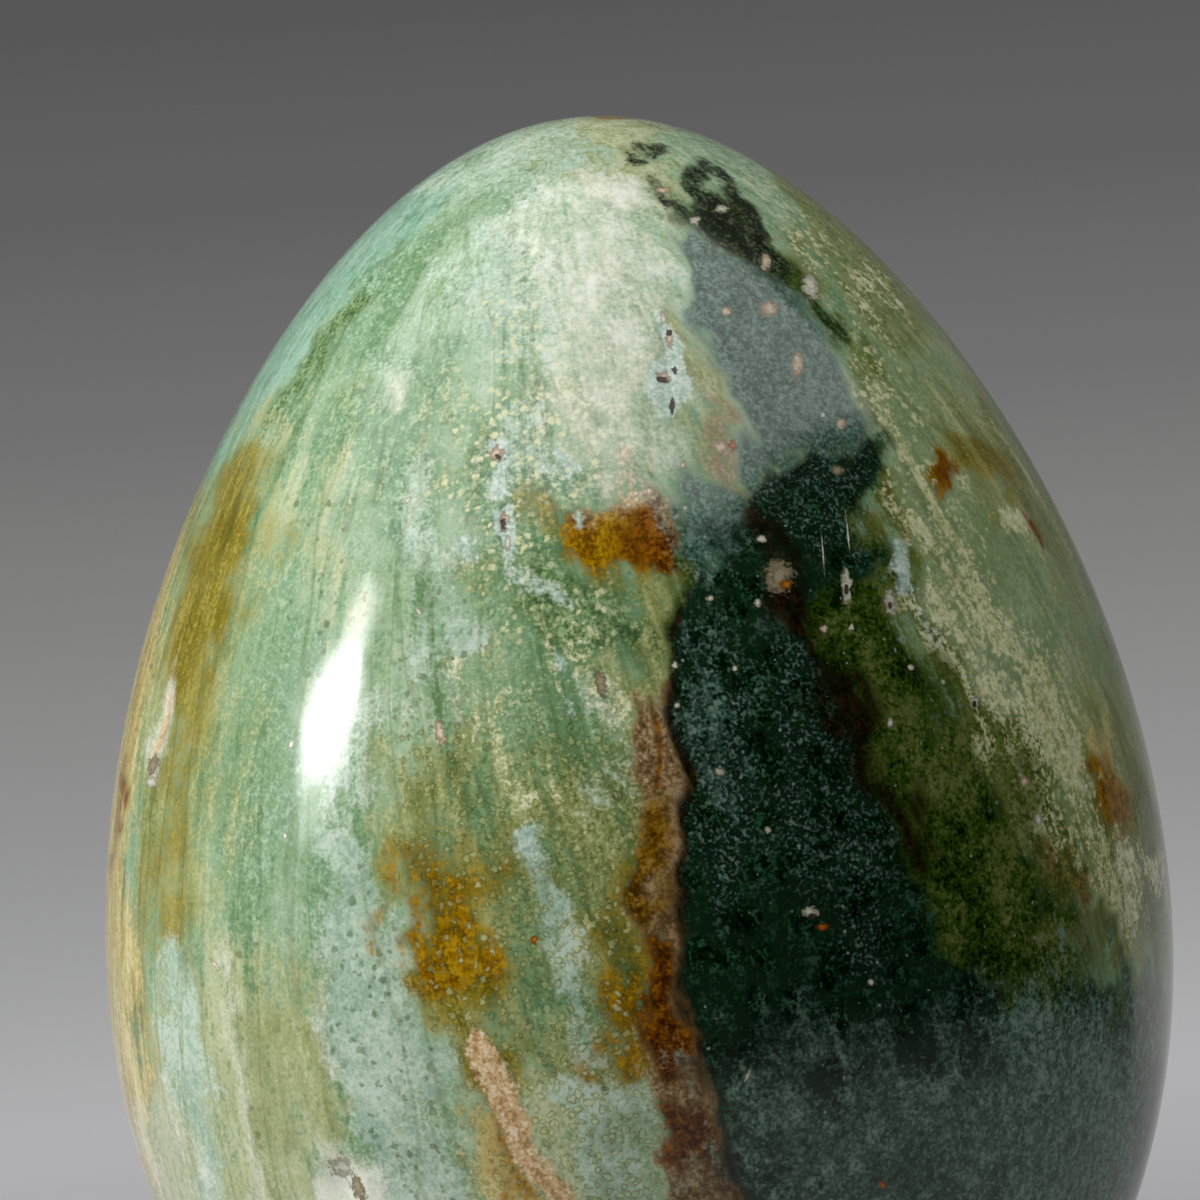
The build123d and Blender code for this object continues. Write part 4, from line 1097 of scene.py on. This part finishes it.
def turnedWalnut(name, pith, grain):
    wood, tree, shader = newMaterial(name)
    woodMetres = addNode(tree, "TexCoord", out="Object")
    woodMm = addNode(tree, "VectorMath", {0: woodMetres, "Scale": 1 / mm}, operation="SCALE")
    dashed = {}
    for kind in ("figure", "pores"):
        across, along = 1 / walnut[kind]["across"], 1 / walnut[kind]["along"]
        stretched = addNode(tree, "Mapping", {
            "Vector": woodMm, "Scale": [along if axis == grain else across for axis in range(3)]})
        dashed[kind] = addNode(tree, "TexNoise", {
            "Vector": stretched, "Scale": 1.0, "Detail": walnut[kind]["detail"]}, out="Fac")
    rings, share = walnut["rings"], walnut["figure"]["share"]
    flat = [0.0 if axis == grain else 1.0 for axis in range(3)]
    fromPith = addNode(tree, "VectorMath", {0: woodMm, 1: pith}, operation="SUBTRACT")
    section = addNode(tree, "VectorMath", {0: fromPith, 1: flat}, operation="MULTIPLY")
    radius = addNode(tree, "VectorMath", {0: section}, out="Value", operation="LENGTH")
    years = addNode(tree, "Math", {0: radius, 1: 1 / rings["spacing"]}, operation="MULTIPLY")
    wavy = addNode(tree, "Math", {0: dashed["figure"], 1: 2 * rings["waver"], 2: years},
                   operation="MULTIPLY_ADD")
    season = addNode(tree, "Math", {0: wavy}, operation="FRACT")
    mixed = addNode(tree, "Math", {0: dashed["figure"], 1: share}, operation="MULTIPLY")
    tone = addNode(tree, "Math", {0: season, 1: 1 - share, 2: mixed}, operation="MULTIPLY_ADD")
    colour = addNode(tree, "ValToRGB", {"Fac": tone}, stops=rings["stops"])
    pores, satin = walnut["pores"], walnut["satin"]
    poreMask = addNode(tree, "MapRange", {
        "Value": dashed["pores"], "From Min": pores["limits"][0], "From Max": pores["limits"][1]})
    colour = addNode(tree, "Mix", {0: poreMask, 6: colour, 7: linearColour(pores["tone"])}, out=2,
                     data_type="RGBA")
    tree.links.new(colour, shader.inputs["Base Color"])
    sheen = addNode(tree, "MapRange", {
        "Value": dashed["pores"], "From Min": satin["dash"][0], "From Max": satin["dash"][1],
        "To Min": satin["rough"][0], "To Max": satin["rough"][1]})
    tree.links.new(sheen, shader.inputs["Roughness"])
    shader.inputs["IOR"].default_value = walnut["ior"]
    solid = addNode(tree, "Math", {0: 1.0, 1: poreMask}, operation="SUBTRACT")
    porous = addNode(tree, "Bump", {"Height": solid, "Distance": pores["depth"], "Strength": 1.0})
    tree.links.new(porous, shader.inputs["Normal"])
    return wood


def dress(nodeName, material):  # gives a carried-over node this material in every slot
    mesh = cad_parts[nodeName].data
    mesh.materials.clear()
    mesh.materials.append(material)


# The base is cut from a flat board, so its rings lie nearly level, and the pegs are split along the grain
dress("base", turnedWalnut("turned_oiled_walnut", **walnut["board"]))
pegWood = turnedWalnut("turned_oiled_walnut_dowel", **walnut["dowel"])
for number in (1, 2, 3):
    dress(f"peg_{number}", pegWood)

# Moulded rubber: matt and almost black, with the fine grain of a blasted mould
rubber = {
    "stops": [(0.3, "#141415"), (0.5, "#1C1C1D"), (0.7, "#262627")],
    "patch": 1.8,
    "patchDetail": 4.0,
    "matt": {"patch": (0.3, 0.7), "rough": (0.66, 0.8)},
    "ior": 1.52,
    "grain": 0.14,
    "grainDetail": 2.0,
    "depth": 0.00002,
}
mouldedRubber, rubberTree, rubberShader = newMaterial("moulded_matt_rubber")
rubberPlace = addNode(rubberTree, "TexCoord", out="Object")
patches = addNode(rubberTree, "TexNoise", {
    "Vector": rubberPlace, "Scale": 1 / (rubber["patch"] * mm), "Detail": rubber["patchDetail"]}, out="Fac")
bloom = addNode(rubberTree, "ValToRGB", {"Fac": patches}, stops=rubber["stops"])
rubberTree.links.new(bloom, rubberShader.inputs["Base Color"])
matt = rubber["matt"]
mattness = addNode(rubberTree, "MapRange", {
    "Value": patches, "From Min": matt["patch"][0], "From Max": matt["patch"][1],
    "To Min": matt["rough"][0], "To Max": matt["rough"][1]})
rubberTree.links.new(mattness, rubberShader.inputs["Roughness"])
rubberShader.inputs["IOR"].default_value = rubber["ior"]
blasted = addNode(rubberTree, "TexNoise", {
    "Vector": rubberPlace, "Scale": 1 / (rubber["grain"] * mm), "Detail": rubber["grainDetail"]}, out="Fac")
grained = addNode(rubberTree, "Bump", {"Height": blasted, "Distance": rubber["depth"], "Strength": 1.0})
rubberTree.links.new(grained, rubberShader.inputs["Normal"])
for number in (1, 2, 3):
    dress(f"foot_{number}", mouldedRubber)
print("stand: walnut base and pegs, rubber feet")


def stagePiece(name, points, faces):  # a piece of the studio, from its corners in metres
    mesh = bpy.data.meshes.new(name)
    mesh.from_pydata(points, [], faces)
    piece = bpy.data.objects.new(name, mesh)
    scene.collection.objects.link(piece)
    return piece


def seenDirectly(tree):  # 1 for what the camera sees, itself or in a gloss or through glass
    rays = addNode(tree, "LightPath", out=None)
    seen = addNode(tree, "Math", {0: rays["Is Camera Ray"], 1: rays["Is Glossy Ray"]}, operation="MAXIMUM")
    return addNode(tree, "Math", {0: seen, 1: rays["Is Transmission Ray"]}, operation="MAXIMUM")


# Floor: a wide pale paper sweep that keeps the object's shadow near by and fades to plain grey further off,
# where what the camera and the gloss see is a set grey by distance (metres from the middle)
floor = {
    "radius": 12.0,
    "sides": 96,
    "paper": "#A2A2A4",
    "roughness": 0.9,
    "nearest": 0.2,
    "farthest": 6.0,
    "greys": [(0.2, "#BEBDBF"), (0.262, "#B4B3B5"), (0.318, "#A8A8A9"), (0.386, "#9D9D9E"),
              (0.468, "#939393"), (0.7, "#838382"), (1.11, "#727171"), (2.03, "#636262"), (6.0, "#585757")],
    "fade": (0.1, 0.3),
}
floorTurn = np.linspace(0, 2 * pi, floor["sides"], endpoint=False)
floorRim = np.column_stack([np.cos(floorTurn), np.sin(floorTurn), 0 * floorTurn]) * floor["radius"]
floorPiece = stagePiece("floor", floorRim, [list(range(floor["sides"]))])
paperFloor, floorTree, floorShader = newMaterial("matt_paper_floor")
floorShader.inputs["Base Color"].default_value = linearColour(floor["paper"])
floorShader.inputs["Roughness"].default_value = floor["roughness"]
floorShader.inputs["Specular IOR Level"].default_value = 0.0
floorPlace = addNode(floorTree, "TexCoord", out="Object")
floorAway = addNode(floorTree, "VectorMath", {0: floorPlace}, out="Value", operation="LENGTH")
doublings = addNode(floorTree, "Math", {0: floorAway, 1: 2.0}, operation="LOGARITHM")
nearest, farthest = float(np.log2(floor["nearest"])), float(np.log2(floor["farthest"]))
steps = [((np.log2(reach) - nearest) / (farthest - nearest), code) for reach, code in floor["greys"]]
span = addNode(floorTree, "MapRange", {"Value": doublings, "From Min": nearest, "From Max": farthest})
floorGrey = addNode(floorTree, "ValToRGB", {"Fac": span}, stops=steps)
floorGlow = addNode(floorTree, "Emission", {"Color": floorGrey})
farOff = addNode(floorTree, "MapRange", {
    "Value": floorAway, "From Min": floor["fade"][0], "From Max": floor["fade"][1],
    "To Max": seenDirectly(floorTree)}, interpolation_type="SMOOTHSTEP")
blend = addNode(floorTree, "MixShader", {0: farOff, 1: floorShader.outputs[0], 2: floorGlow})
floorTree.links.new(blend, floorTree.nodes["Material Output"].inputs["Surface"])
floorPiece.data.materials.append(paperFloor)


# A flat panel of lit cloth that the camera doesn't see
def litPanel(name, corners, radiance):
    panel = stagePiece(name, corners, [list(range(len(corners)))])
    panel.visible_camera = False
    cloth, clothTree, _ = newMaterial("lit_diffuser_cloth_" + name)
    lit = addNode(clothTree, "Emission", {"Strength": radiance})
    clothTree.links.new(lit, clothTree.nodes["Material Output"].inputs["Surface"])
    panel.data.materials.append(cloth)


# Key light at the left: a leaf-shaped opening with dim patches round it and the cloth's own faint glow
# behind, on planes that face the egg, each a gap further off than the one before. Corners are metres
# across and up.
key = {
    "from": (-0.887, -0.271, 0.375),
    "away": 0.6,
    "gap": 0.002,
    "panels": {
        "leaf": ([(0.040, 0.056), (0.052, 0.018), (0.038, -0.028), (-0.028, -0.068), (-0.05, -0.036),
                  (-0.032, 0.008), (0.004, 0.042)], 88.0),
        "above": ([(-0.012, 0.06), (0.05, 0.056), (0.054, 0.125), (0.0, 0.125)], 12.0),
        "below": ([(-0.05, -0.072), (0.012, -0.072), (0.0, -0.14), (-0.04, -0.14)], 5.0),
        "right": ([(0.078, 0.031), (0.118, 0.031), (0.11, -0.012), (0.078, -0.012)], 3.0),
        "left": ([(-0.071, 0.031), (-0.05, 0.04), (-0.05, 0.014), (-0.071, 0.004)], 3.0),
        "glow": ([(0.075, 0.035), (0.078, -0.03), (0.058, -0.08), (0.012, -0.115), (-0.05, -0.105),
                  (-0.078, -0.05), (-0.062, 0.0), (-0.03, 0.045), (0.02, 0.07)], 6.0),
    },
}
towards = Vector(key["from"]).normalized()
keyAcross = Vector((-towards.y, towards.x, 0)).normalized()
keyUp = towards.cross(keyAcross)
for number, (name, (corners, radiance)) in enumerate(key["panels"].items()):
    panelMiddle = eggMiddle * mm + towards * (key["away"] + number * key["gap"])
    litPanel("key_" + name, [panelMiddle + keyAcross * x + keyUp * z for x, z in corners], radiance)

# Overhead panel: a flat cloth above the egg, cut on the slant at its right front
overhead = {
    "height": 0.6,
    "corners": [(0.74, 0.17), (0.3, -0.45), (-0.5, -0.47), (-0.85, -0.1), (-0.6, 0.2), (-0.1, 0.18),
                (0.3, 0.1)],
    "radiance": 1.6,
}
litPanel("overhead", [(x, y, overhead["height"]) for x, y in overhead["corners"]], overhead["radiance"])

# Black velvet behind the camera, a curved sweep that only the gloss shows, so that the front of the egg
# stays deep. Towards the egg it fades into the floor. Its profile, reach and height in metres, is carried
# round the upright axis from one azimuth to another.
velvet = {
    "from": -75.0,
    "to": 125.0,
    "columns": 24,
    "profile": [(0.07, 0.001), (0.3, 0.002), (0.9, 0.004), (0.95, 0.1), (0.95, 1.2)],
    "fade": (0.08, 0.32),
    "floor": "#959495",
    "cloth": "#030303",
}
velvetTurn = np.radians(np.linspace(velvet["from"], velvet["to"], velvet["columns"]))
reach, height = np.array(velvet["profile"]).T[:, :, None]
sweep = np.stack([reach * np.sin(velvetTurn), -reach * np.cos(velvetTurn), height + 0 * velvetTurn], -1)
corner = np.arange(sweep.size // 3).reshape(-1, velvet["columns"])
sides = np.stack([corner[:-1, :-1], corner[1:, :-1], corner[1:, 1:], corner[:-1, 1:]], -1)
velvetPiece = stagePiece("velvet", sweep.reshape(-1, 3), sides.reshape(-1, 4).tolist())
velvetPiece.visible_camera = velvetPiece.visible_diffuse = velvetPiece.visible_shadow = False
blackVelvet, velvetTree, _ = newMaterial("black_velvet")
velvetPlace = addNode(velvetTree, "TexCoord", out="Object")
velvetAway = addNode(velvetTree, "VectorMath", {0: velvetPlace}, out="Value", operation="LENGTH")
fade = addNode(velvetTree, "MapRange", {
    "Value": velvetAway, "From Min": velvet["fade"][0], "From Max": velvet["fade"][1]},
    interpolation_type="SMOOTHSTEP")
fading = addNode(velvetTree, "Mix", {
    0: fade, 6: linearColour(velvet["floor"]), 7: linearColour(velvet["cloth"])}, out=2, data_type="RGBA")
velvetGlow = addNode(velvetTree, "Emission", {"Color": fading})
velvetTree.links.new(velvetGlow, velvetTree.nodes["Material Output"].inputs["Surface"])
velvetPiece.data.materials.append(blackVelvet)

# Room: grey light on the object, and a darker grey where the camera or the gloss sees past the floor
room = {"ambient": "#5E5E5E", "backdrop": "#585757"}
world = bpy.data.worlds.new("room")
scene.world = world
world.use_nodes = True
roomGrey = addNode(world.node_tree, "Mix", {
    0: seenDirectly(world.node_tree), 6: linearColour(room["ambient"]), 7: linearColour(room["backdrop"])},
    out=2, data_type="RGBA")
world.node_tree.links.new(roomGrey, world.node_tree.nodes["Background"].inputs["Color"])
print("light and floor ready")
